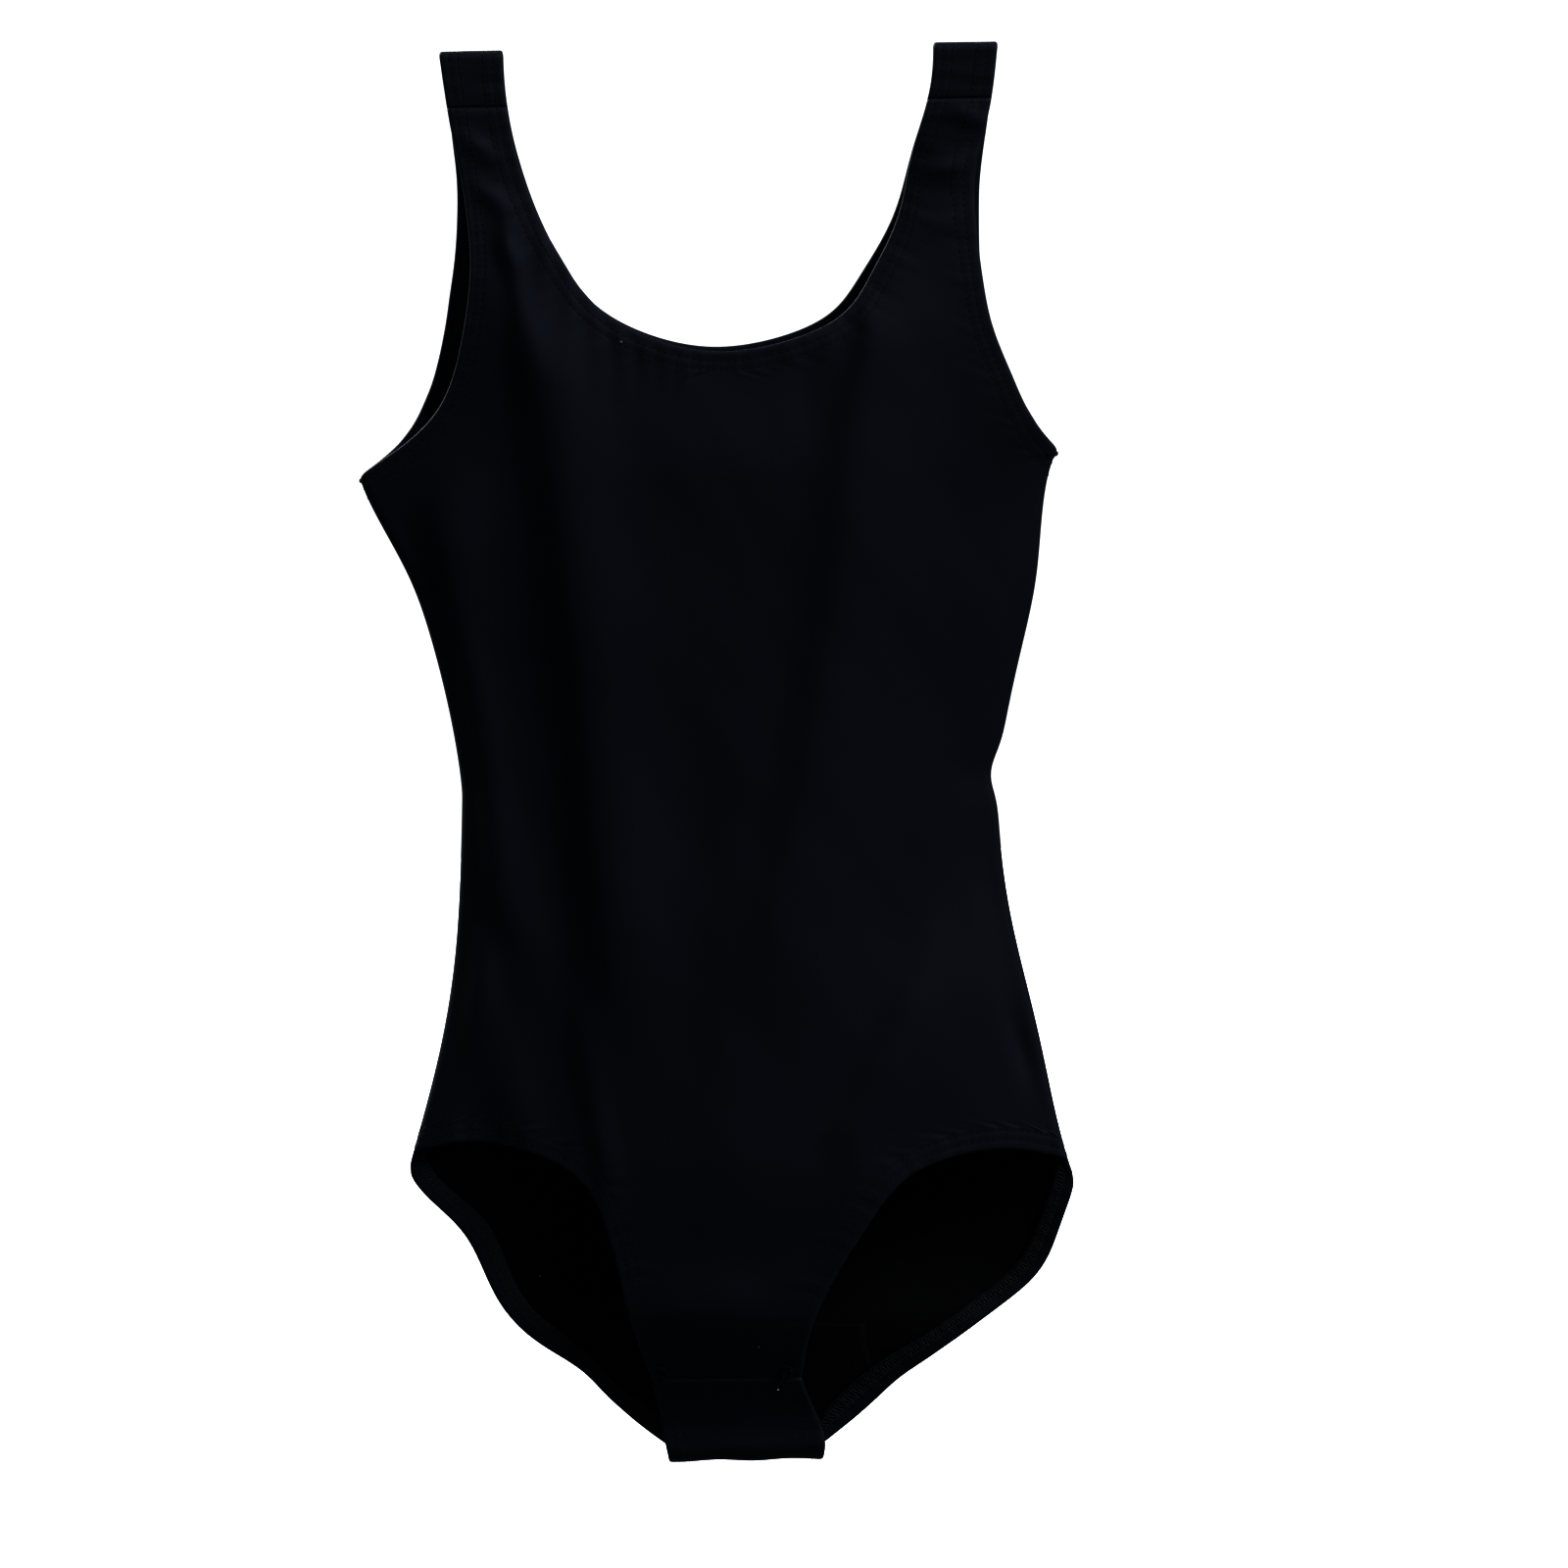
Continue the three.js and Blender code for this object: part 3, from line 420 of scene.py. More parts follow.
def smooth_curve(points, pieces=48):
    """A curve through the points, which leaves each one in the direction of its neighbours."""
    points = np.array(points, float)
    padded = np.concatenate([points[:1], points, points[-1:]])
    share = np.linspace(0, 1, pieces, endpoint=False)[:, None]
    runs = []
    for p0, p1, p2, p3 in zip(padded, padded[1:], padded[2:], padded[3:]):
        leave, arrive = (p2 - p0) / 2, (p3 - p1) / 2
        runs.append((2 * p1 - 2 * p2 + leave + arrive) * share**3
                    + (3 * p2 - 3 * p1 - 2 * leave - arrive) * share**2 + leave * share + p1)
    return np.concatenate([*runs, points[-1:]])


def armhole_curve(scoop):
    start, waist = strap_outer_across(-STRAP_DROP), STRAP_OUTER - scoop
    down = lambda share: mix(-STRAP_DROP, -UNDERARM_DROP, share)
    return smooth_curve([
        (start, -STRAP_DROP), (mix(waist, start, 0.25), down(0.22)), (waist, down(0.44)),
        (mix(waist, CHEST_HALF_WIDTH, 0.17), down(0.71)), (mix(waist, CHEST_HALF_WIDTH, 0.53), down(0.88)),
        (seam_across(np.array(-UNDERARM_DROP)), -UNDERARM_DROP)])


def neck_curve(drop):
    angle = np.linspace(math.asin(STRAP_DROP / drop), math.pi / 2, 200)
    return np.stack([STRAP_INNER * np.cos(angle), -drop * np.sin(angle)], -1)


def leg_curve(lowest, shares, second=None):
    """The leg opening from the hip to the crotch: shares are (out, down) of the space between them."""
    span, drop = HIP_HALF_WIDTH - CROTCH_HALF_WIDTH, -lowest - HIP_DROP
    spots = [(CROTCH_HALF_WIDTH + span * out, -HIP_DROP - drop * down) for out, down in shares]
    start = (seam_across(np.array(-HIP_DROP)), -HIP_DROP)
    return smooth_curve([start, *([second] if second else []), *spots])


def stations(curve, corner_at_end):
    """Spots along a curve, closer together beside the side seam."""
    total = running(curve)[-1]
    from_corner = np.concatenate([np.arange(0, CORNER_RUN, CORNER_STEP),
                                  np.linspace(CORNER_RUN, total, round((total - CORNER_RUN) / EDGE_STEP))])
    return at_lengths(curve, total - from_corner[::-1] if corner_at_end else from_corner)


def inset_of(edge, turn, first, last):
    """The hem's inner line. turn is 1 where the cloth lies on the left of the edge, and -1 on the right."""
    run = running(edge)
    tangent = np.gradient(edge, axis=0)
    inward = turn * np.stack([tangent[:, 1], -tangent[:, 0]], -1)
    inward /= np.linalg.norm(inward, axis=1, keepdims=True)
    straight = np.maximum(ease(-STRAP_DROP - BLEND_LENGTH, -STRAP_DROP, edge[:, 1]),
                          ease(CROTCH_BEND + BLEND_LENGTH, CROTCH_BEND, edge[:, 1]))[:, None]
    inward = mix(inward, np.array([-turn, 0.0]), straight)
    for end, at, distance in ((first, 0, run), (last, -1, run[-1] - run)):
        to_end = (end - edge[at]) / np.linalg.norm(end - edge[at])
        inward = mix(inward, to_end, (np.clip(1 - distance / EASE_LENGTH, 0, 1) ** 2)[:, None])
    inset = edge + HEM_WIDTH * inward / np.linalg.norm(inward, axis=1, keepdims=True)
    inset[0], inset[-1] = first, last
    return inset


def strap_height(along):
    """Height of a spot of the strap, from its length along the cloth."""
    return np.where(along <= STRAP_BEND, along, np.minimum(0, 2 * STRAP_BEND + STRAP_FOLD_LENGTH - along))


def seam_spot(z):
    return np.array([float(seam_across(np.array(z))), z])


def cut_half(neck_drop, armhole, leg, strap_rows, crotch_rows):
    """One half of a panel: its edges, its insets, and the ends of the rows that cross it."""
    underarm, hip = seam_spot(-UNDERARM_DROP - HEM_WIDTH), seam_spot(-HIP_DROP + HEM_WIDTH)
    strap = np.stack([strap_outer_across(strap_height(strap_rows)), strap_rows], -1)[:-1]
    arm_edge = np.concatenate([strap, stations(armhole, True)])
    arm_inset = inset_of(arm_edge, 1, arm_edge[0] - [HEM_WIDTH, 0], underarm)
    crotch = np.stack([np.full(len(crotch_rows), float(CROTCH_HALF_WIDTH)), crotch_rows], -1)
    leg_edge = np.concatenate([stations(leg, False)[:-1], crotch])
    leg_inset = inset_of(leg_edge, 1, hip, crotch[-1] - [HEM_WIDTH, 0])

    heights = np.linspace(underarm[1], hip[1], round((underarm[1] - hip[1]) / SIDE_STEP))[1:-1]
    seam = np.stack([seam_across(heights), heights], -1)
    outer = np.concatenate([arm_inset, seam, leg_inset])
    corner, bend = len(arm_inset) - 1, len(outer) - len(crotch_rows)

    arm_run = running(arm_inset[len(strap_rows) - 1:])
    neckline = neck_curve(neck_drop)
    on_strap = STRAP_INNER * np.sqrt(1 - np.clip(strap_height(strap_rows[:-1]) / neck_drop, -1, 1) ** 2)
    neck_edge = np.concatenate([np.stack([on_strap, strap_rows[:-1]], -1),
                                at_lengths(neckline, arm_run / arm_run[-1] * running(neckline)[-1])])
    neck_edge[-1, 0] = 0
    neck_bottom = np.array([0.0, -neck_drop - HEM_WIDTH])
    neck_inset = inset_of(neck_edge, -1, neck_edge[0] + [HEM_WIDTH, 0], neck_bottom)

    body_run = running(outer[corner:bend + 1])
    centre = mix(neck_bottom[1], crotch_rows[0], body_run / body_run[-1])
    inner = np.concatenate([neck_inset, np.stack([0 * centre[1:], centre[1:]], -1),
                            np.stack([0 * crotch_rows[1:], crotch_rows[1:]], -1)])
    return {"arm": (arm_edge, arm_inset), "leg": (leg_edge, leg_inset), "neck": (neck_edge, neck_inset),
            "outer": outer, "inner": inner, "corner": corner, "hip": corner + len(heights) + 1}


FRONT_LEG = [(0.51, 0), (0.32, 0.13), (0.18, 0.4), (0.07, 0.72), (0, 1)]
BACK_LEG = [(1.01, 0.11), (0.92, 0.26), (0.78, 0.43), (0.58, 0.61), (0.3, 0.79), (0.09, 0.93), (0, 1)]
LEG_SECOND = (CROTCH_HALF_WIDTH + 0.76 * (HIP_HALF_WIDTH - CROTCH_HALF_WIDTH), -HIP_DROP + LEG_TOP_RISE)
SHOULDER_FRONT = -SHOULDER_SEAM_DROP - SEAM_GAP / 2
SHOULDER_BACK = SHOULDER_SEAM_ALONG - SEAM_GAP / 2
CROTCH_BACK = CROTCH_SEAM_ALONG + SEAM_GAP / 2


def rows_between(start, end, step):
    return np.linspace(start, end, max(2, round(abs(end - start) / step)))


CUTS = {
    FRONT: cut_half(FRONT_NECK_DROP, armhole_curve(FRONT_ARMHOLE_SCOOP),
                    leg_curve(-CROTCH_SEAM_DROP, FRONT_LEG, LEG_SECOND),
                    rows_between(SHOULDER_FRONT, -STRAP_DROP, STRAP_STEP),
                    np.array([-CROTCH_SEAM_DROP + SEAM_GAP / 2])),
    BACK: cut_half(BACK_NECK_DROP, armhole_curve(BACK_ARMHOLE_SCOOP), leg_curve(CROTCH_BEND, BACK_LEG),
                   rows_between(SHOULDER_BACK, -STRAP_DROP, STRAP_STEP),
                   rows_between(CROTCH_BEND, CROTCH_BACK, 2)),
}
print("rows on half a panel:", {side.name: len(cut["outer"]) for side, cut in CUTS.items()})

# %% [markdown]
# ## Bands and loops
# A hem is a band along an open edge. A band knows its edge and its inner line, so a place in it is
# given by its length along the edge, its distance from the edge, and its height above the cloth.
# The bands of the front and of the back join into one closed loop round each opening, and elastics
# and threads are laid along that loop. Elastic pulls the cloth into small uneven puckers.

# %% Bands along the edges, joined into loops round the openings
PUCKERS, PUCKER_REACH = {"neck": 0.07, "arm": 0.05, "leg": 0.1}, 9


class Band:
    """One open edge on one half of a panel. half is 1 on the wearer's left and -1 on the right."""

    def __init__(self, side, half, edge, inset, seed, rise):
        self.side, self.half, self.edge, self.inset = side, half, edge, inset
        self.seed, self.rise = seed, rise
        self.run = running(edge)
        self.total = self.run[-1]

    def pucker(self, length):
        wave = np.sin(length / 1.13 + self.seed) + 0.8 * np.sin(length / 1.71 + 2.3 * self.seed)
        wave = wave + 0.6 * np.sin(length / 3.9 + 4.1 * self.seed)
        return self.rise * wave * ease(0, 7, length) * (1 - ease(self.total - 7, self.total, length))

    def spot(self, length, distance):
        share = distance / HEM_WIDTH
        across, along = (mix(np.interp(length, self.run, self.edge[:, k]),
                             np.interp(length, self.run, self.inset[:, k]), share) for k in (0, 1))
        return self.half * across, along

    def place(self, length, distance, height=0.0):
        across, along = self.spot(length, distance)
        return self.side.place(across, along, height + self.pucker(length))

    def rolled(self, length, angle):
        """The hem's turned edge: angle goes from 0, on the face, to 180 degrees, inside."""
        middle, normal = self.side.point(*self.spot(length, 0))
        inner, _ = self.side.point(*self.spot(length, HEM_WIDTH))
        out = middle - inner
        out -= normal * (out * normal).sum(-1, keepdims=True)
        out /= np.linalg.norm(out, axis=-1, keepdims=True)
        radius = HEM_DEPTH / 2
        sunk = self.pucker(length) - radius * (1 - math.cos(angle))
        return settled(middle + out * radius * math.sin(angle) + normal * sunk[:, None])


class Loop:
    """The closed way round an opening. Bands run forward or backward."""

    def __init__(self, *runs):
        self.runs = runs
        self.starts = np.cumsum([0] + [band.total for band, _ in runs])
        self.total = self.starts[-1]

    def place(self, length, distance, height):
        length = np.mod(length, self.total)
        found = np.zeros((len(length), 3))
        for (band, forward), start in zip(self.runs, self.starts):
            here = (length >= start) & (length < start + band.total)
            local = length[here] - start
            local = local if forward else band.total - local
            found[here] = band.place(local, distance[here], height[here])
        return found


BANDS = {}
for index, (side, cut) in enumerate(CUTS.items()):
    for half in (1, -1):
        for number, edge_name in enumerate(("neck", "arm", "leg")):
            seed = 1 + 2.9 * number + 1.7 * index + 0.6 * half
            BANDS[side, half, edge_name] = Band(side, half, *cut[edge_name], seed, PUCKERS[edge_name])
LOOPS = {"neck": Loop((BANDS[FRONT, 1, "neck"], True), (BANDS[FRONT, -1, "neck"], False),
                      (BANDS[BACK, -1, "neck"], True), (BANDS[BACK, 1, "neck"], False))}
HALVES = {"left": 1, "right": -1}
for half_name, half in HALVES.items():
    for opening, edge_name in (("armhole", "arm"), ("leg", "leg")):
        LOOPS[f"{half_name}_{opening}"] = Loop((BANDS[FRONT, half, edge_name], True),
                                               (BANDS[BACK, half, edge_name], False))
print("lengths round the openings in mm:", {name: round(loop.total) for name, loop in LOOPS.items()})

# %% [markdown]
# ## Cloth as a mesh
# A grid primitive has the rows and columns of a woven thing already. Each stretch of cloth starts as
# a grid, whose vertices are laid on computed spots. The stretches of one panel are then joined, their
# shared vertices are merged, and a Solidify modifier gives the cloth its thickness.

# %% Helpers that lay a grid and finish a sheet
def deselect():
    if bpy.context.object and bpy.context.object.mode != "OBJECT":
        bpy.ops.object.mode_set(mode="OBJECT")
    bpy.ops.object.select_all(action="DESELECT")


def activate(piece):
    deselect()
    piece.select_set(True)
    bpy.context.view_layer.objects.active = piece


def set_map(mesh, name, places):
    """A UV map from one place for each vertex."""
    corners = np.zeros(len(mesh.loops), int)
    mesh.loops.foreach_get("vertex_index", corners)
    layer = mesh.uv_layers.get(name) or mesh.uv_layers.new(name=name)
    layer.data.foreach_set("uv", places.reshape(-1, 2)[corners].ravel())


def lay_grid(name, points, cloth_map, hem_map):
    """A grid primitive laid on rows of points. The maps are in metres of cloth."""
    rows, columns = points.shape[:2]
    deselect()
    bpy.ops.mesh.primitive_grid_add(x_subdivisions=columns - 1, y_subdivisions=rows - 1, size=1)
    piece = bpy.context.object
    piece.name = name
    piece.data.uv_layers[0].name = "cloth"
    piece.data.vertices.foreach_set("co", (points * MM).ravel())
    set_map(piece.data, "cloth", cloth_map * MM)
    set_map(piece.data, "hem", hem_map * MM)
    return piece


def join(name, parts):
    deselect()
    for part in parts:
        part.select_set(True)
    bpy.context.view_layer.objects.active = parts[0]
    if len(parts) > 1:
        bpy.ops.object.join()
    parts[0].name = parts[0].data.name = name
    return parts[0]


def edit(piece, *steps):
    """Runs edit-mode steps on the whole piece."""
    activate(piece)
    bpy.ops.object.mode_set(mode="EDIT")
    bpy.ops.mesh.select_all(action="SELECT")
    for step in steps:
        step()
    bpy.ops.object.mode_set(mode="OBJECT")


def slots(piece, *finishes):
    """Gives a piece its finishes, whose nodes are made later."""
    for finish in finishes:
        piece.data.materials.append(bpy.data.materials.get(finish) or bpy.data.materials.new(finish))


def thicken(piece, thickness, *finishes):
    """Merges doubles, turns the normals one way, and gives the sheet its thickness.

    A second finish goes to the inside."""
    slots(piece, *finishes)
    edit(piece, lambda: bpy.ops.mesh.remove_doubles(threshold=0.004 * MM),
         lambda: bpy.ops.mesh.normals_make_consistent(inside=False))
    solid = piece.modifiers.new("thickness", "SOLIDIFY")
    solid.thickness, solid.offset, solid.use_rim = thickness * MM, 0, True
    solid.material_offset = len(finishes) - 1
    bpy.ops.object.modifier_apply(modifier=solid.name)
    bpy.ops.object.shade_smooth()
    return piece


def report(piece):
    low, high = np.array(piece.bound_box).min(0), np.array(piece.bound_box).max(0)
    size = [round(float(v) * 1000) for v in high - low]
    print(piece.name, "has", len(piece.data.polygons), "faces and measures", size, "mm")


# %% [markdown]
# ## The front and back panels
# Each panel is one cut of knit. Rows of vertices run from the neckline, or from the centre line, to
# the armhole, the side seam or the leg opening. The three hems are the same cloth: it is pressed down
# at the two needle rows, rolls over at the edge and runs back inside, over the elastic.

# %% Model the panels
COLUMNS = {FRONT: 46, BACK: 38}
FACE_STEPS = np.array([8.5, 8.0, 7.4, 6.8, 5.3, 3.9, 3.2, 2.5, 1.2, 0])
INSIDE_STEPS = np.array([0, 2.4, 3.2, 4.2, 6.4, 7.4, 8.5])
ROLL_ANGLES = np.radians([30, 60, 90, 120, 150])
FAR_FROM_HEM = 60


def press(distance):
    """How far the needle rows press the cloth in."""
    return 0.11 * sum(hump(row, 0.5, distance) for row in NEEDLE_ROWS)


def column_shares(count, wide):
    """Shares across a row: closer together at both ends of a wide row, where the cloth bends most."""
    even = np.linspace(0, 1, count)
    angle = np.linspace(0, math.pi, count)
    close = mix(even, (1 - np.cos(angle)) / 2, 0.8)
    return mix(even, close, wide)


def body_grid(side, half):
    cut = CUTS[side]
    inner, outer = cut["inner"], cut["outer"]
    widths = np.linalg.norm(outer - inner, axis=1)
    shares = np.array([column_shares(COLUMNS[side], w) for w in ease(15, 70, widths)])
    spots = inner[:, None] + (outer - inner)[:, None] * shares[..., None]
    # Puckers reach a little way into the cloth from each hem.
    pucker = np.zeros(shares.shape)
    from_outer, from_inner = (1 - shares) * widths[:, None], shares * widths[:, None]
    for edge_name, rows, distance in (("arm", slice(0, cut["corner"] + 1), from_outer),
                                      ("leg", slice(cut["hip"], None), from_outer),
                                      ("neck", slice(0, cut["corner"] + 1), from_inner)):
        band = BANDS[side, half, edge_name]
        pucker[rows] += band.pucker(band.run)[:, None] * hump(0, PUCKER_REACH, distance[rows])
    across = half * spots[..., 0]
    points = side.place(across, spots[..., 1], pucker)
    cloth_map = np.stack([across, spots[..., 1]], -1)
    return lay_grid("body", points, cloth_map, np.full(cloth_map.shape, float(FAR_FROM_HEM)))


def hem_grid(band):
    length = band.run
    rows = [band.place(length, distance, -press(distance)) for distance in FACE_STEPS]
    rows += [band.rolled(length, angle) for angle in ROLL_ANGLES]
    rows += [band.place(length, distance, press(distance) - HEM_DEPTH) for distance in INSIDE_STEPS]
    roll = -HEM_DEPTH / 2 * ROLL_ANGLES
    distances = np.concatenate([FACE_STEPS, roll, -math.pi * HEM_DEPTH / 2 - INSIDE_STEPS])
    spots = [np.stack(band.spot(length, distance), -1) for distance in distances]
    hem_map = [np.stack([length, np.full(len(length), distance)], -1) for distance in distances]
    return lay_grid("hem", np.array(rows), np.array(spots), np.array(hem_map))


def panel(side, name):
    parts = [body_grid(side, half) for half in (1, -1)]
    parts += [hem_grid(band) for key, band in BANDS.items() if key[0] is side]
    # The inside finish's darker colour is painted shade, for the shade inside the garment.
    piece = thicken(join(name, parts), CLOTH, "stretch_knit", "stretch_knit_inside_painted_shade")
    report(piece)
    return piece


def area_between(inner, outer):
    """Area of the cut between two lines of spots."""
    ring = np.concatenate([inner, outer[::-1]])
    ahead = np.roll(ring, -1, axis=0)
    return abs((ring[:, 0] * ahead[:, 1] - ahead[:, 0] * ring[:, 1]).sum()) / 2


def flat_cut(side):
    """Width, length and area of the flat cut, with its turned hems, in metres."""
    cut = CUTS[side]
    turned = math.pi * HEM_DEPTH / 2 + 2 * HEM_WIDTH
    hems = turned * sum(running(cut[name][0])[-1] for name in ("neck", "arm", "leg"))
    width = 2 * max(cut["outer"][:, 0].max(), cut["arm"][0][:, 0].max())
    length = np.ptp(cut["outer"][:, 1])
    return (width * MM, length * MM), 2 * (area_between(cut["inner"], cut["outer"]) + hems) * MM**2


front_cloth = panel(FRONT, "front_cloth")
back_cloth = panel(BACK, "back_cloth")
for side in (FRONT, BACK):
    size, area = flat_cut(side)
    print(side.name, "flat cut:", [round(float(v), 3) for v in size], "m,", round(float(area), 4), "m2")

# %% [markdown]
# ## The crotch lining
# A small gusset of plain knit lies inside the crotch, from the crotch seam up the back. It is one
# more grid, laid just inside the back's cloth and as wide as the leg hems leave room for.

# %% Model the lining
LINING_RISE, LINING_HALF_WIDTH, LINING, LINING_COLUMNS = 62, 60, 0.4, 49


def lining():
    rows = CUTS[BACK]["leg"][1]
    rows = rows[rows[:, 1] <= -BODY_LENGTH + LINING_RISE]
    half_widths = np.minimum(rows[:, 0] - LAYER_GAP, LINING_HALF_WIDTH)
    spots = np.stack([half_widths[:, None] * np.linspace(-1, 1, LINING_COLUMNS),
                      np.repeat(rows[:, 1:], LINING_COLUMNS, 1)], -1)
    points = BACK.place(spots[..., 0], spots[..., 1], -CLOTH / 2 - LAYER_GAP - LINING / 2)
    gusset = join("lining_cloth", [lay_grid("lining", points, spots, spots)])
    piece = thicken(gusset, LINING, "lining_knit")
    report(piece)
    middle, edge = (np.stack([share * half_widths, rows[:, 1]], -1) for share in (0, 1))
    area = 2 * area_between(middle, edge)
    return piece, (2 * half_widths.max() * MM, np.ptp(rows[:, 1]) * MM), area * MM**2


lining_cloth, LINING_FLAT, LINING_AREA = lining()

# %% [markdown]
# ## The elastics
# A ring of swimwear elastic lies in each hem, between the face and the turned-in cloth. It has fine
# ribs along its length, which come from small steps in the height of its rows of vertices.

# %% Model the elastics
RIB_HEIGHT, RIBS, RING_STEP = 0.06, 7, 2.6


def elastic(name, loop):
    lengths = np.linspace(0, loop.total, round(loop.total / RING_STEP))
    across = np.linspace(0, 1, 4 * RIBS + 1)
    distance = np.tile(ELASTIC_EDGE_GAP + ELASTIC_WIDTH * across, (len(lengths), 1))
    height = np.tile(RIB_HEIGHT * np.cos(2 * math.pi * RIBS * across), (len(lengths), 1))
    middle = -ELASTIC_INSET - ELASTIC_THICKNESS / 2
    along = np.repeat(lengths[:, None], len(across), 1)
    points = loop.place(along.ravel(), distance.ravel(), (middle + height).ravel()).reshape(*along.shape, 3)
    spots = np.stack([distance, along], -1)
    ring = lay_grid("ring", points, spots, spots)
    piece = thicken(join(name, [ring]), ELASTIC_THICKNESS - 2 * RIB_HEIGHT, "elastic")
    report(piece)
    return piece


elastics = {name: elastic(f"{name}_elastic_band", loop) for name, loop in LOOPS.items()}

# %% [markdown]
# ## Threads
# A coverstitch is two rows of needle stitches on the face and a looper thread that crosses between
# them inside. Each thread is first made straight, as on a bench, where x is the length along the hem,
# y the distance from its edge and z the height. One stitch is modelled once and repeated by an Array
# modifier, and the straight row is then bent onto the loop round its opening.

# %% Helpers that make a straight row and lay it on the cloth
STITCH_LENGTH, THREAD = 2.9, 0.34
FINE_THREAD = 0.8 * THREAD


def vertex_places(mesh):
    places = np.zeros(3 * len(mesh.vertices))
    mesh.vertices.foreach_get("co", places)
    return places.reshape(-1, 3)


def select_where(piece, test):
    """Selects the vertices whose places pass a test, and stays in edit mode."""
    activate(piece)
    bpy.ops.object.mode_set(mode="EDIT")
    bpy.ops.mesh.select_mode(type="VERT")
    bpy.ops.mesh.select_all(action="DESELECT")
    bpy.ops.object.mode_set(mode="OBJECT")
    piece.data.vertices.foreach_set("select", test(vertex_places(piece.data)))
    bpy.ops.object.mode_set(mode="EDIT")


def model_stitch(length, thickness):
    """One thread stitch: a slim pod whose ends dip into the needle holes."""
    deselect()
    bpy.ops.mesh.primitive_uv_sphere_add(segments=6, ring_count=6, radius=0.5, rotation=(0, math.pi / 2, 0))
    stitch = bpy.context.object
    bpy.ops.object.transform_apply(rotation=True)
    edit(stitch, lambda: bpy.ops.transform.resize(value=(length * 0.94, thickness, thickness)))
    select_where(stitch, lambda places: np.abs(places[:, 0]) > 0.3 * length)
    bpy.ops.transform.translate(value=(0, 0, -0.5 * thickness))
    bpy.ops.object.mode_set(mode="OBJECT")
    return stitch


def repeat(piece, count, offset):
    """A straight row of copies."""
    activate(piece)
    row = piece.modifiers.new("row", "ARRAY")
    row.use_relative_offset, row.use_constant_offset = False, True
    row.count, row.constant_offset_displace = count, offset
    bpy.ops.object.modifier_apply(modifier=row.name)
    return piece


def straight_thread(points, thickness):
    """A thread through points on the bench, as a mesh tube."""
    deselect()
    line = bpy.data.curves.new("thread", "CURVE")
    line.dimensions, line.bevel_depth = "3D", thickness / 2
    line.bevel_resolution, line.use_fill_caps = 1, True
    spline = line.splines.new("POLY")
    spline.points.add(len(points) - 1)
    spline.points.foreach_set("co", np.concatenate([points, np.ones((len(points), 1))], 1).ravel())
    piece = bpy.data.objects.new("thread", line)
    bpy.context.collection.objects.link(piece)
    activate(piece)
    bpy.ops.object.convert(target="MESH")
    return bpy.context.object


def bench_map(piece, finish):
    """Keeps the place on the bench as the thread's map, in metres: x along, and y and z round it."""
    if not piece.data.materials:
        slots(piece, finish)
    places = vertex_places(piece.data)
    while piece.data.uv_layers:
        piece.data.uv_layers.remove(piece.data.uv_layers[0])
    set_map(piece.data, "cloth", np.stack([places[:, 1] + places[:, 2], places[:, 0]], -1) * MM)


def lay_on(piece, place, finish="thread"):
    """Moves every vertex from its place on the bench to its place on the cloth."""
    bench_map(piece, finish)
    places = vertex_places(piece.data)
    piece.data.vertices.foreach_set("co", (place(*places.T) * MM).ravel())
    piece.data.update()
    activate(piece)
    bpy.ops.object.shade_smooth()
    return piece


# %% Sew the coverstitches
def needle_row(loop, distance):
    count = round(loop.total / STITCH_LENGTH)
    pitch = loop.total / count
    row = repeat(model_stitch(pitch, THREAD), count, (pitch, 0, 0))
    height = CLOTH / 2 - press(0) + THREAD * 0.12
    return lay_on(row, lambda x, y, z: loop.place(x + pitch / 2, distance + y, height + z))


def looper(loop):
    """Two strands that cross between the needle rows, on the inside of the hem."""
    count = round(loop.total / STITCH_LENGTH)
    share = np.arange(0, count + 0.01, 0.125)
    near, far = NEEDLE_ROWS
    strands = []
    for turn in (0, 1):
        side_to_side = ease(0, 1, np.abs((2 * share + turn) % 2 - 1))
        lift = THREAD * (turn - 0.5) * np.sin(math.pi * side_to_side)
        points = np.stack([share * loop.total / count, mix(near - 0.3, far + 0.3, side_to_side), -lift], -1)
        strands.append(straight_thread(points, FINE_THREAD))
    strands = join("looper", strands)
    height = -HEM_STACK - THREAD * 0.62
    # Its finish's lighter grey is painted light on the hem's inside.
    return lay_on(strands, lambda x, y, z: loop.place(x, y, height + z), "looper_thread")


def coverstitch(name, loop):
    piece = join(name, [*(needle_row(loop, distance) for distance in NEEDLE_ROWS), looper(loop)])
    report(piece)
    return piece


coverstitches = {name: coverstitch(f"{name}_hem_threads", loop) for name, loop in LOOPS.items()}

# %% [markdown]
# ## Overlocked seam allowances
# Inside each seam the two raw edges stand together and are wrapped by overlock threads. The core is
# a grid rolled into a flat tube and closed at its ends. The wrapping thread is a flattened spiral, and
# a row of needle stitches runs along the seam. Again all is made straight and then laid in place.

# %% Sew the overlocks
ALLOWANCE_WIDTH, ALLOWANCE_HALF, WRAP_STEP = 6, 0.38, 2.3
CORE_SPOTS, CORE_STEP, WRAP_SPOTS, WRAP_MARGIN, SEAM_STITCH_PLACE = 15, 2.4, 12, 0.5, 1.3


def flat_round(angle, width, half):
    """A flattened ring: distance from the seam and height, at an angle."""
    squash = lambda value: np.sign(value) * np.abs(value) ** 0.6
    return width / 2 * (1 + squash(np.cos(angle))), half * squash(np.sin(angle))


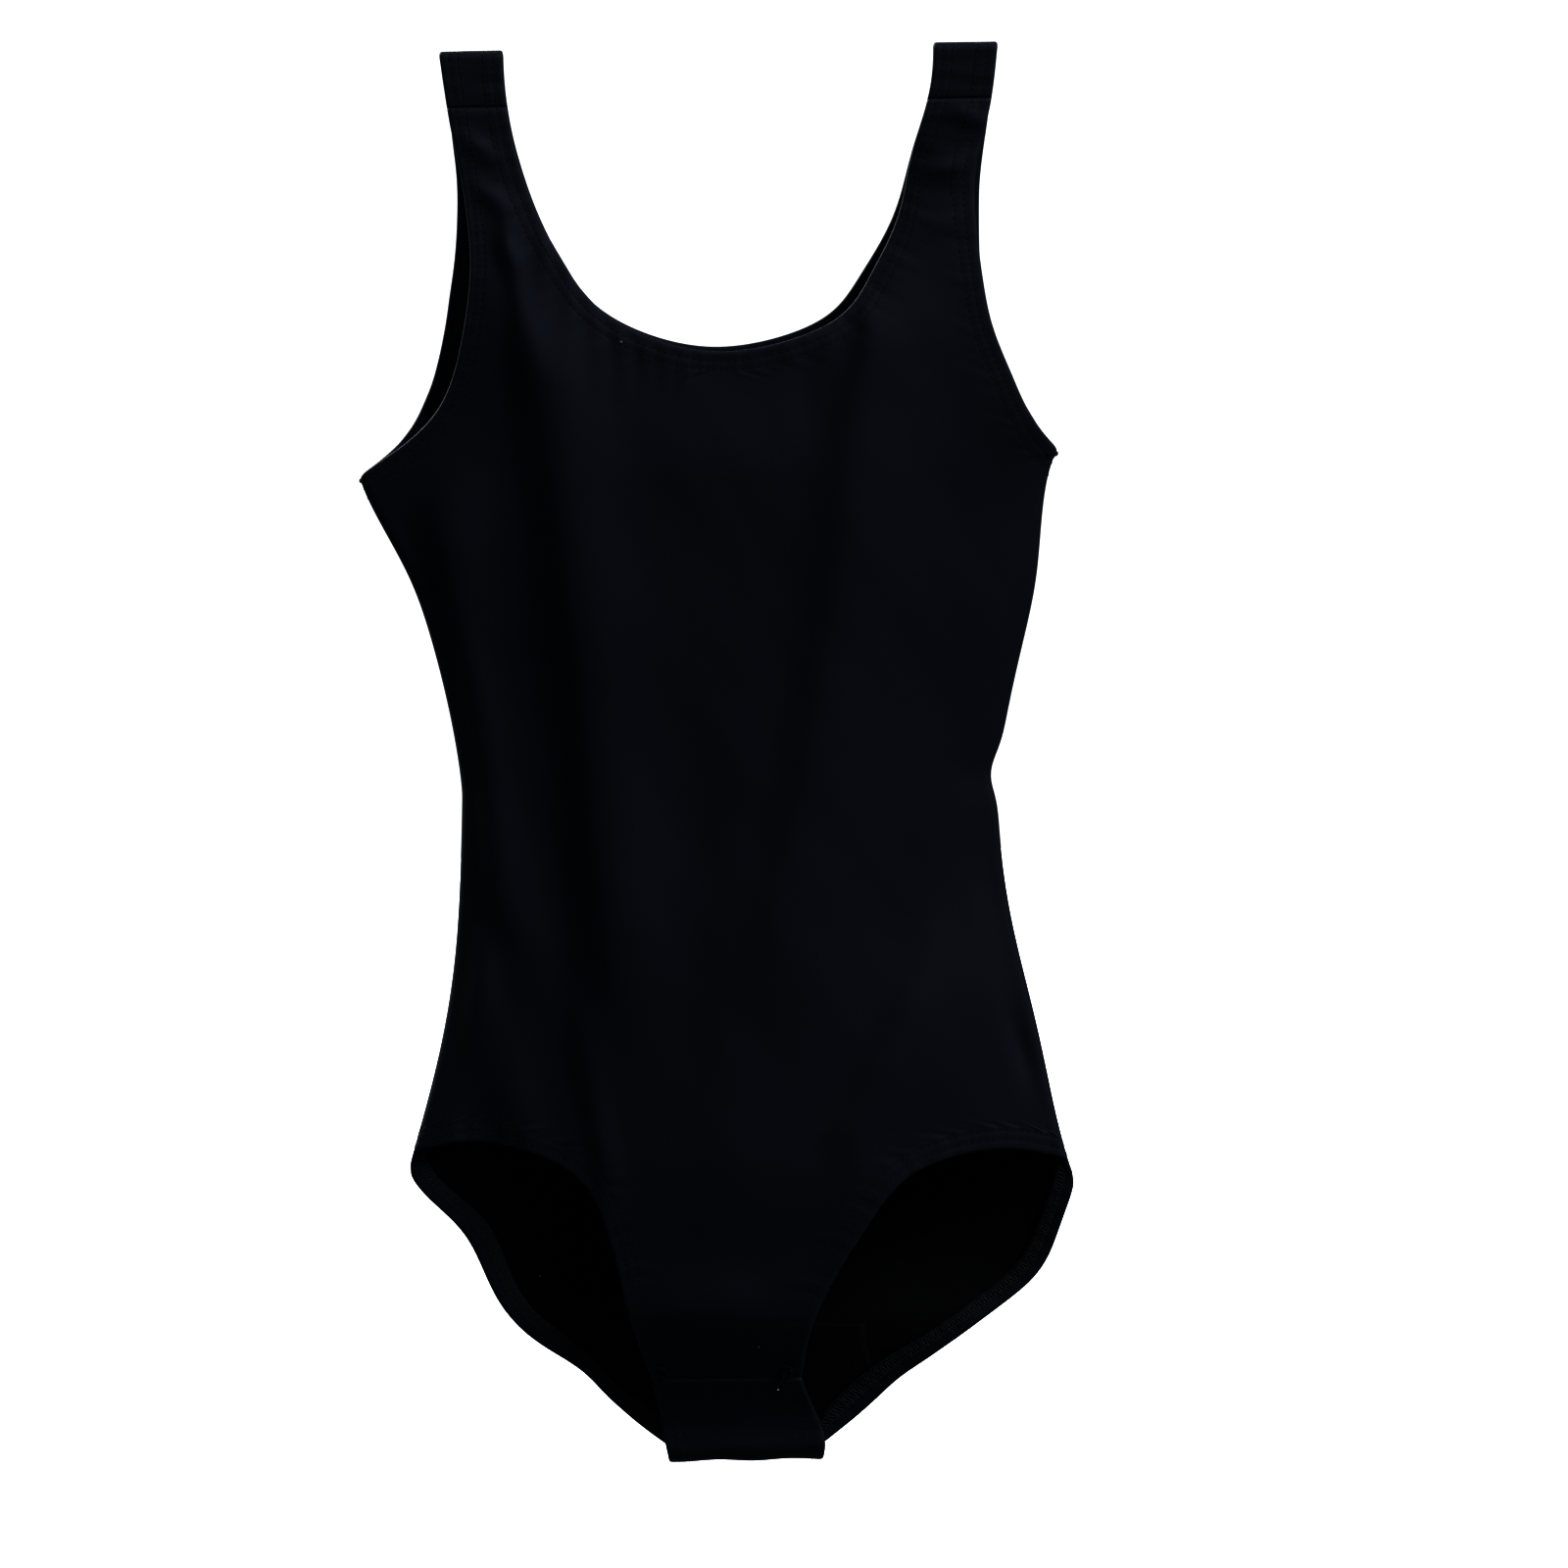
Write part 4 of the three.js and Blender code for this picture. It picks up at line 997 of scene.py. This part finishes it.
def overlock(name, length, place):
    angle = np.linspace(0, 2 * math.pi, CORE_SPOTS)
    rows = np.linspace(0, length, max(6, round(length / CORE_STEP)))
    away, height = flat_round(angle, ALLOWANCE_WIDTH, ALLOWANCE_HALF)
    points = np.stack([np.repeat(rows[:, None], CORE_SPOTS, 1), np.tile(away, (len(rows), 1)),
                       np.tile(height, (len(rows), 1))], -1)
    core = lay_grid("core", points / MM, points[..., :2], points[..., :2])
    edit(core, lambda: bpy.ops.mesh.remove_doubles(threshold=0.001),
         lambda: bpy.ops.mesh.fill_holes(sides=0),
         lambda: bpy.ops.mesh.normals_make_consistent(inside=False))
    turns = length / WRAP_STEP
    turn = np.linspace(0, 2 * math.pi * turns, round(turns * WRAP_SPOTS))
    away, height = flat_round(turn, ALLOWANCE_WIDTH + WRAP_MARGIN, ALLOWANCE_HALF + THREAD / 2)
    wrap = np.stack([turn / (2 * math.pi) * WRAP_STEP, away - WRAP_MARGIN / 2, height], -1)
    spiral = straight_thread(wrap, FINE_THREAD)
    count = round(length / STITCH_LENGTH)
    pitch = length / count
    stitches = repeat(model_stitch(pitch, THREAD), count, (pitch, 0, 0))
    lift = ALLOWANCE_HALF + 1.2 * THREAD
    parts = [lay_on(core, place), lay_on(spiral, place),
             lay_on(stitches, lambda x, y, z: place(x + pitch / 2, SEAM_STITCH_PLACE + y, lift + z))]
    piece = join(name, parts)
    report(piece)
    return piece


def side_overlock(name, half):
    near = CLOTH / 2 + LAYER_GAP - drawn_in(0)
    top = -UNDERARM_DROP - HEM_WIDTH - LAYER_GAP
    bottom = -HIP_DROP + HEM_WIDTH + LAYER_GAP

    def place(x, y, z):
        height = top - x
        return settled(np.stack([half * (reach(height) - near - y), z, height], -1))

    return overlock(f"{name}_side_seam", top - bottom, place)


def patch_overlock(name, start, end, bottom):
    """An overlocked allowance that lies flat on the inside of the front."""
    under = -CLOTH / 2 - LAYER_GAP - ALLOWANCE_HALF - THREAD
    return overlock(name, end - start, lambda x, y, z: FRONT.place(start + x, bottom + y, under - z))


side_seams = {name: side_overlock(name, half) for name, half in HALVES.items()}
SHOULDER_START = STRAP_INNER + HEM_WIDTH + LAYER_GAP
SHOULDER_END = float(strap_outer_across(-SHOULDER_SEAM_DROP)) - HEM_WIDTH - LAYER_GAP
shoulder_seams = {
    "left": patch_overlock("left_shoulder_seam", SHOULDER_START, SHOULDER_END, -SHOULDER_SEAM_DROP),
    "right": patch_overlock("right_shoulder_seam", -SHOULDER_END, -SHOULDER_START, -SHOULDER_SEAM_DROP)}
CROTCH_HALF = CROTCH_HALF_WIDTH - HEM_WIDTH - LAYER_GAP
crotch_seam = patch_overlock("crotch_seam", -CROTCH_HALF, CROTCH_HALF, -CROTCH_SEAM_DROP + SEAM_GAP)

# %% [markdown]
# ## Tacks and the label
# Where the leg stitching starts and ends, beside the crotch seam, a short dense tack locks it, and a
# little tangled thread is left. One loose end hangs from the wearer's left tack. The blank label is
# one ribbon grid, folded in half and caught in the wearer's left side seam.

# %% Sew the tacks
TACK_STEP, TACK_COUNT = 0.36, 13


def tack(half):
    """The tack and its tangle, and the rule that places a thread on this hem."""
    band = BANDS[FRONT, half, "leg"]
    middle = sum(NEEDLE_ROWS) / 2
    bars = repeat(model_stitch(NEEDLE_ROWS[1] - NEEDLE_ROWS[0] + 1, THREAD), TACK_COUNT, (0, TACK_STEP, 0))
    on_hem = lambda x, y, z: band.place(band.total - 0.8 - x, y, CLOTH / 2 + z)
    parts = [lay_on(bars, lambda x, y, z: on_hem(y, middle + x, z + 0.62))]
    time = np.linspace(0, 13.5, 150)
    tangle = np.stack([2.9 + 2.5 * np.sin(1.31 * time + half), middle + 2.2 * np.sin(1.93 * time + 1),
                       1.15 + 0.22 * np.sin(2.9 * time)], -1)
    parts.append(lay_on(straight_thread(tangle, 0.7 * THREAD), on_hem))
    return parts, on_hem


def loose_end(start):
    """A thread end that hangs in front of the cloth, curls a little and holds a bit of lint."""
    share = np.linspace(0, 1, 30)
    points = np.stack([start[0] - 1.8 * share + 0.7 * np.sin(5 * share), start[1] - 0.5 - 0.5 * share,
                       start[2] - 6.5 * share + 0.8 * np.sin(3.4 * share)], -1)
    end = straight_thread(points, 0.6 * THREAD)
    deselect()
    bpy.ops.mesh.primitive_ico_sphere_add(subdivisions=2, radius=0.3, location=points[-1])
    fluff = bpy.context.object
    bpy.ops.object.transform_apply(location=True)
    edit(fluff, lambda: bpy.ops.transform.resize(value=(1.3, 1, 0.8), center_override=tuple(points[-1])),
         lambda: bpy.ops.transform.vertex_random(offset=0.07, uniform=0, normal=1, seed=3))
    stay = lambda x, y, z: np.stack([x, y, z], -1)
    return [lay_on(end, stay), lay_on(fluff, stay, "lint")]


tacks = {}
for name, half in HALVES.items():
    parts, on_hem = tack(half)
    if name == "left":
        parts += loose_end(on_hem(np.array([1.0]), np.array([6.5]), np.array([0.9]))[0])
    tacks[name] = join(f"{name}_leg_tack", parts)
    report(tacks[name])

# %% Fold the label
LABEL_WIDTH, LABEL_LENGTH, LABEL_RISE, LABEL_BEND, RIBBON = 18, 26, 80, 0.42, 0.26


def label():
    middle_z = -HIP_DROP + LABEL_RISE
    low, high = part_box("care_label")
    outer, inner = high.x / MM, low.x / MM
    leaf = np.linspace(0, 1, 22)[:, None]
    first, last = np.array([outer, 1.1]), np.array([inner + LABEL_BEND, 1.1])
    turn = np.linspace(0, math.pi, 9)[1:-1, None]
    bend = last + [0, LABEL_BEND] + LABEL_BEND * np.concatenate([-np.sin(turn), -np.cos(turn)], 1)
    there, back = mix(first, last, leaf), mix(last, first, leaf) + [0, 2 * LABEL_BEND]
    path = np.concatenate([there, bend, back])
    curl = 0.55 * ((outer - path[:, 0]) / LABEL_LENGTH) ** 2
    heights = middle_z + np.linspace(-0.5, 0.5, 17) * LABEL_WIDTH
    points = np.stack([np.repeat(path[:, :1], 17, 1), np.repeat(path[:, 1:] + curl[:, None], 17, 1),
                       np.tile(heights, (len(path), 1))], -1)
    spots = np.stack([np.repeat(running(path)[:, None], 17, 1), np.tile(heights, (len(path), 1))], -1)
    ribbon = lay_grid("ribbon", settled(points), spots, spots)
    piece = thicken(join("folded_label", [ribbon]), RIBBON, "label")
    report(piece)
    return piece


folded_label = label()

# %% [markdown]
# ## Finishes
# All that shows is knit, thread and ribbon. Each finish is built from the cloth's own map, which is
# in metres, so that a wale or a twist has its real width. The small class below lets a shader value
# be used in ordinary sums, and one method adds any other node.

# %% Shader values as Python expressions
class Value:
    """A shader socket. Sums with it add Math nodes."""

    def __init__(self, finish, socket):
        self.finish, self.socket = finish, socket

    def math(self, operation, *values):
        return self.finish.node("Math", {"operation": operation}, dict(enumerate(values)))

    def __add__(self, other):
        return self.math("ADD", self, other)

    def __sub__(self, other):
        return self.math("SUBTRACT", self, other)

    def __rsub__(self, other):
        return self.math("SUBTRACT", other, self)

    def __mul__(self, other):
        return self.math("MULTIPLY", self, other)

    def __truediv__(self, other):
        return self.math("DIVIDE", self, other)

    def __pow__(self, other):
        return self.math("POWER", self, other)

    __radd__, __rmul__ = __add__, __mul__

    def sine(self):
        return self.math("SINE", self)

    def absolute(self):
        return self.math("ABSOLUTE", self)

    def above(self, limit):
        return self.math("GREATER_THAN", self, limit)

    def remainder(self):
        return self.math("FRACT", self)


class Finish:
    """A material with one shader. Uniform values go straight to the shader's sockets."""

    def __init__(self, name, **settings):
        self.material = bpy.data.materials.get(name) or bpy.data.materials.new(name)
        self.material.use_nodes = True
        self.tree = self.material.node_tree
        self.shader = self.tree.nodes["Principled BSDF"]
        for socket, value in settings.items():
            self.feed(self.shader.inputs[socket.replace("_", " ")], value)

    def feed(self, target, value):
        if isinstance(value, Value):
            self.tree.links.new(value.socket, target)
        else:
            target.default_value = value

    def node(self, kind, settings, inputs, output=0):
        """Any node: its type, its settings, which come first, and its sockets' values or links."""
        made = self.tree.nodes.new("ShaderNode" + kind)
        for setting, value in settings.items():
            setattr(made, setting, value)
        for socket, value in inputs.items():
            self.feed(made.inputs[socket], value)
        return Value(self, made.outputs[output])

    def map_place(self, name="cloth"):
        """The two places on a map, in millimetres."""
        spot = self.node("UVMap", {"uv_map": name}, {})
        return [self.node("SeparateXYZ", {}, {0: spot}, output) * (1 / MM) for output in (0, 1)]

    def noise(self, scale, detail):
        place = self.node("TexCoord", {}, {}, "Object")
        return self.node("TexNoise", {}, {"Scale": scale, "Detail": detail, "Vector": place})

    def fade(self, value, full, none):
        """1 up to one value and 0 past another."""
        return self.node("MapRange", {"clamp": True}, {0: value, 1: full, 2: none, 3: 1.0, 4: 0.0})

    def shades(self, dark, light, share):
        return self.node("Mix", {"data_type": "RGBA"}, {0: share, 6: (*dark, 1), 7: (*light, 1)}, 2)

    def finish(self, color, roughness, height=None, depth=0):
        """Links the colour and roughness, and a bump that is depth millimetres high."""
        self.feed(self.shader.inputs["Base Color"], color)
        self.feed(self.shader.inputs["Roughness"], roughness)
        if height:
            bump = self.node("Bump", {}, {"Height": height, "Distance": depth * MM})
            self.feed(self.shader.inputs["Normal"], bump)


# %% [markdown]
# Knit is rows of small V-shaped loops: wales run down the cloth and courses run across it. The body
# is fine nylon knit with a soft sheen, the lining a coarser matt one. The hem's map marks where each
# needle stitch pulls the cloth in, and a few specks of lint lie on the black.

# %% Finishes of the cloth
WALE, COURSE, LINING_WALE, LINING_COURSE = 0.42, 0.3, 0.6, 0.48
DIMPLE, SPECK_SIZE, SPECK_SHARE = 0.4, 0.032, 0.67
LINT_GREY = (0.3, 0.3, 0.31)


def knit_height(finish, wale, course):
    """The height of knitted loops, from 0 to 1."""
    across, along = finish.map_place()
    from_middle = ((across / wale).remainder() - 0.5).absolute()
    leg = (1 - (from_middle - 0.25).absolute() * 4) ** 0.6
    slant = along / course + from_middle * 1.4
    return leg * (0.66 + (slant * (2 * math.pi)).sine() * 0.34)


def hem_marks(finish):
    """A dimple at every needle stitch, and how near the rolled edge a place is."""
    length, distance = finish.map_place("hem")
    middle = sum(NEEDLE_ROWS) / 2
    near_rows = finish.fade((distance - middle).absolute(), 1.2, 3.2)
    dimples = near_rows * (length * (2 * math.pi / STITCH_LENGTH)).sine()
    return dimples, finish.fade(distance.absolute(), 0, 1.6)


def knit(name, dark, light, wale, course, roughness, depth, hems, **settings):
    finish = Finish(name, **settings)
    loops = knit_height(finish, wale, course)
    cloudy, fuzz = finish.noise(9, 4), finish.noise(900, 2)
    share, height = cloudy * 0.6 + loops * 0.12, loops + fuzz * 0.5
    if hems:
        pulled, edge = hem_marks(finish)
        share, height = share + edge * 0.35, height + pulled * DIMPLE
    color = finish.shades(dark, light, share)
    place = finish.node("TexCoord", {}, {}, "Object")
    cells = finish.node("TexVoronoi", {"feature": "F1"}, {"Scale": 52.0, "Vector": place})
    speck = (SPECK_SIZE - cells).above(0) * finish.noise(31, 1).above(SPECK_SHARE)
    color = finish.node("Mix", {"data_type": "RGBA"}, {0: speck * 0.35, 6: color, 7: (*LINT_GREY, 1)}, 2)
    finish.finish(color, roughness + cloudy * 0.16 + fuzz * 0.08, height, depth)


knit("stretch_knit", (0.0037, 0.0049, 0.0093), (0.0072, 0.0094, 0.0166), WALE, COURSE, 0.46, 0.04, True,
     Specular_IOR_Level=0.2, Specular_Tint=(0.66, 0.78, 1, 1), Sheen_Weight=0.03, Sheen_Roughness=0.4,
     Sheen_Tint=(0.5, 0.75, 1, 1))
# The inside of the knit is matt, and its darker colour is painted shade: it stands for the shade inside the
# garment.
knit("stretch_knit_inside_painted_shade", (0.0030, 0.0034, 0.0046), (0.0052, 0.0058, 0.0074), WALE, COURSE,
     0.72, 0.05, True, Specular_IOR_Level=0.06)
knit("lining_knit", (0.0036, 0.0038, 0.0044), (0.0062, 0.0064, 0.0072), LINING_WALE, LINING_COURSE,
     0.74, 0.06, False, Specular_IOR_Level=0.06)
print("knit of", round(1 / WALE, 1), "wales and", round(1 / COURSE, 1), "courses to a millimetre")

# %% [markdown]
# Thread is two twisted plies, so its bump is a slanting wave along the stitch. Elastic shows crosswise
# yarns between its ribs, and the label is satin ribbon, whose long floats give it a soft shine.

# %% Finishes of thread, elastic and ribbon
def twisted(name, dark, light, **settings):
    finish = Finish(name, Sheen_Weight=0.03, Sheen_Roughness=0.4, **settings)
    around, along = finish.map_place()
    twist, cloudy = (along * 11 + around * 9).sine(), finish.noise(60, 2)
    color = finish.shades(dark, light, cloudy * 0.6 + twist * 0.2 + 0.2)
    finish.finish(color, 0.45 + cloudy * 0.2, twist, 0.05)


def elastic_finish():
    finish = Finish("elastic", Specular_IOR_Level=0.3)
    across, along = finish.map_place()
    yarn = (along * (2 * math.pi / 0.7)).sine() * (0.6 + (across * (2 * math.pi / 0.86)).sine() * 0.4)
    cloudy = finish.noise(80, 3)
    color = finish.shades((0.012, 0.012, 0.014), (0.034, 0.034, 0.038), yarn * 0.25 + cloudy * 0.5)
    finish.finish(color, 0.62 + cloudy * 0.2, yarn, 0.05)


def ribbon_finish():
    finish = Finish("label", Specular_IOR_Level=0.5, Sheen_Weight=0.2, Sheen_Roughness=0.3)
    along, across = finish.map_place()
    floats = (across * (2 * math.pi / 0.22)).sine() * 0.5 + (along * 9 + across * 17).sine() * 0.3
    cloudy = finish.noise(120, 3)
    color = finish.shades((0.62, 0.62, 0.6), (0.82, 0.82, 0.8), cloudy * 0.6 + floats * 0.2 + 0.2)
    finish.finish(color, 0.33 + cloudy * 0.15, floats, 0.03)


def lint_finish():
    finish = Finish("lint", Specular_IOR_Level=0.2)
    fluff = finish.noise(2500, 3)
    color = finish.shades((0.35, 0.35, 0.35), (0.75, 0.75, 0.74), fluff)
    finish.finish(color, 0.8 + fluff * 0.1, fluff, 0.1)


# The looper thread inside is a fluffy, greyer one, and its grey is made lighter still as painted light on
# the hem's inside strip in the armholes and legs.
twisted("thread", (0.0040, 0.0055, 0.0085), (0.0095, 0.0118, 0.0165), Specular_IOR_Level=0.18)
twisted("looper_thread", (0.016, 0.017, 0.020), (0.036, 0.037, 0.041), Specular_IOR_Level=0.25)
for make in (elastic_finish, ribbon_finish, lint_finish):
    make()

# %% [markdown]
# ## Every piece takes its place in the model
# Each piece rides on the model's one body and stands for its own CAD node, which is hidden. The flat size
# and area of the two panels' cuts are worked out once more here.

# %% Put the pieces on the model's body
def seat(piece, node):
    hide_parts(node)
    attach(piece, "root")


seat(front_cloth, "front_panel")
seat(back_cloth, "back_panel")
seat(lining_cloth, "crotch_lining")
seat(folded_label, "care_label")
seat(crotch_seam, "crotch_overlock")
for name, loop in LOOPS.items():
    seat(elastics[name], f"{name}_elastic")
    seat(coverstitches[name], f"{name}_coverstitch")
for name in HALVES:
    seat(side_seams[name], f"{name}_side_overlock")
    seat(shoulder_seams[name], f"{name}_shoulder_overlock")
    seat(tacks[name], f"{name}_leg_bartack")

for piece, side, pieces_on_it in ((front_cloth, FRONT, list(tacks.values())),
                                  (back_cloth, BACK, [])):
    size, area = flat_cut(side)
    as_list(pieces_on_it)

# %% [markdown]
# ## Floor, light and camera
# A wide pale floor and a bright even sky give a plain studio. One large soft light from above, on
# the right and in front, draws the folds. A second one, behind and on the left, keeps the back from
# going quite black. The sky looks brighter to the camera than it lights the cloth. The camera stands
# far off and level, with a long lens, and is rolled by one degree. The view's gamma is low, which
# deepens the black of the cloth.

# %% Set the stage
FLOOR_DROP, FLOOR_SIZE, FLOOR_PALE = 0.76, 80, 0.74
PICTURE_WIDTH, CAMERA_DISTANCE, CAMERA_ROLL = 0.6976, 3.0, math.radians(1.08)
AIM = (0.0231, 0.0, -0.326)
SENSOR = 36
SKY_SEEN, SKY_LIGHT, CONTRAST = 1.15, 0.36, 0.55
# name, place, power, and how wide the light is, in degrees
LIGHTS = [("key", (2.1, -1.5, 2.0), 6.8, 30), ("back", (-2.2, 1.9, 1.7), 6.5, 35)]


def floor():
    deselect()
    bpy.ops.mesh.primitive_plane_add(size=FLOOR_SIZE, location=(0, 0, -FLOOR_DROP))
    piece = bpy.context.object
    piece.name = "floor"
    slots(piece, "floor")
    finish = Finish("floor", Specular_IOR_Level=0.2)
    pale, mottle = np.full(3, FLOOR_PALE), finish.noise(6, 3)
    finish.finish(finish.shades(pale, pale + 0.03, mottle), 0.7)
    # The floor throws no light up at the leotard, so what faces down stays dark.
    piece.visible_diffuse = piece.visible_glossy = False


def light(name, place, power, spread):
    """A soft sun that points at the middle of the leotard."""
    deselect()
    bpy.ops.object.light_add(type="SUN", location=place)
    made = bpy.context.object
    made.name, made.data.energy, made.data.angle = name, power, math.radians(spread)
    away = np.array(AIM) - np.array(place)
    tilt = math.atan2(math.hypot(away[0], away[1]), -away[2])
    made.rotation_euler = (tilt, 0, math.atan2(-away[0], away[1]))


def camera():
    deselect()
    bpy.ops.object.camera_add(location=(AIM[0], AIM[1] - CAMERA_DISTANCE, AIM[2]),
                              rotation=(math.pi / 2, CAMERA_ROLL, 0))
    made = bpy.context.object
    made.data.sensor_width = SENSOR
    made.data.lens = SENSOR * CAMERA_DISTANCE / PICTURE_WIDTH
    made.data.clip_end = FLOOR_SIZE
    bpy.context.scene.camera = made


def sky():
    """A white sky, which is seen at full strength but lights the leotard only a little."""
    world = bpy.data.worlds.new("studio")
    world.use_nodes = True
    nodes, links = world.node_tree.nodes, world.node_tree.links
    backdrop = nodes["Background"]
    backdrop.inputs["Color"].default_value = (1, 1, 1, 1)
    seen = nodes.new("ShaderNodeLightPath").outputs["Is Camera Ray"]
    strength = nodes.new("ShaderNodeMapRange")
    links.new(seen, strength.inputs["Value"])
    strength.inputs["To Min"].default_value = SKY_LIGHT
    strength.inputs["To Max"].default_value = SKY_SEEN
    links.new(strength.outputs["Result"], backdrop.inputs["Strength"])
    bpy.context.scene.world = world


floor()
sky()
for lamp in LIGHTS:
    light(*lamp)
camera()
settings = bpy.context.scene.view_settings
settings.view_transform, settings.look, settings.gamma = "Standard", "None", CONTRAST
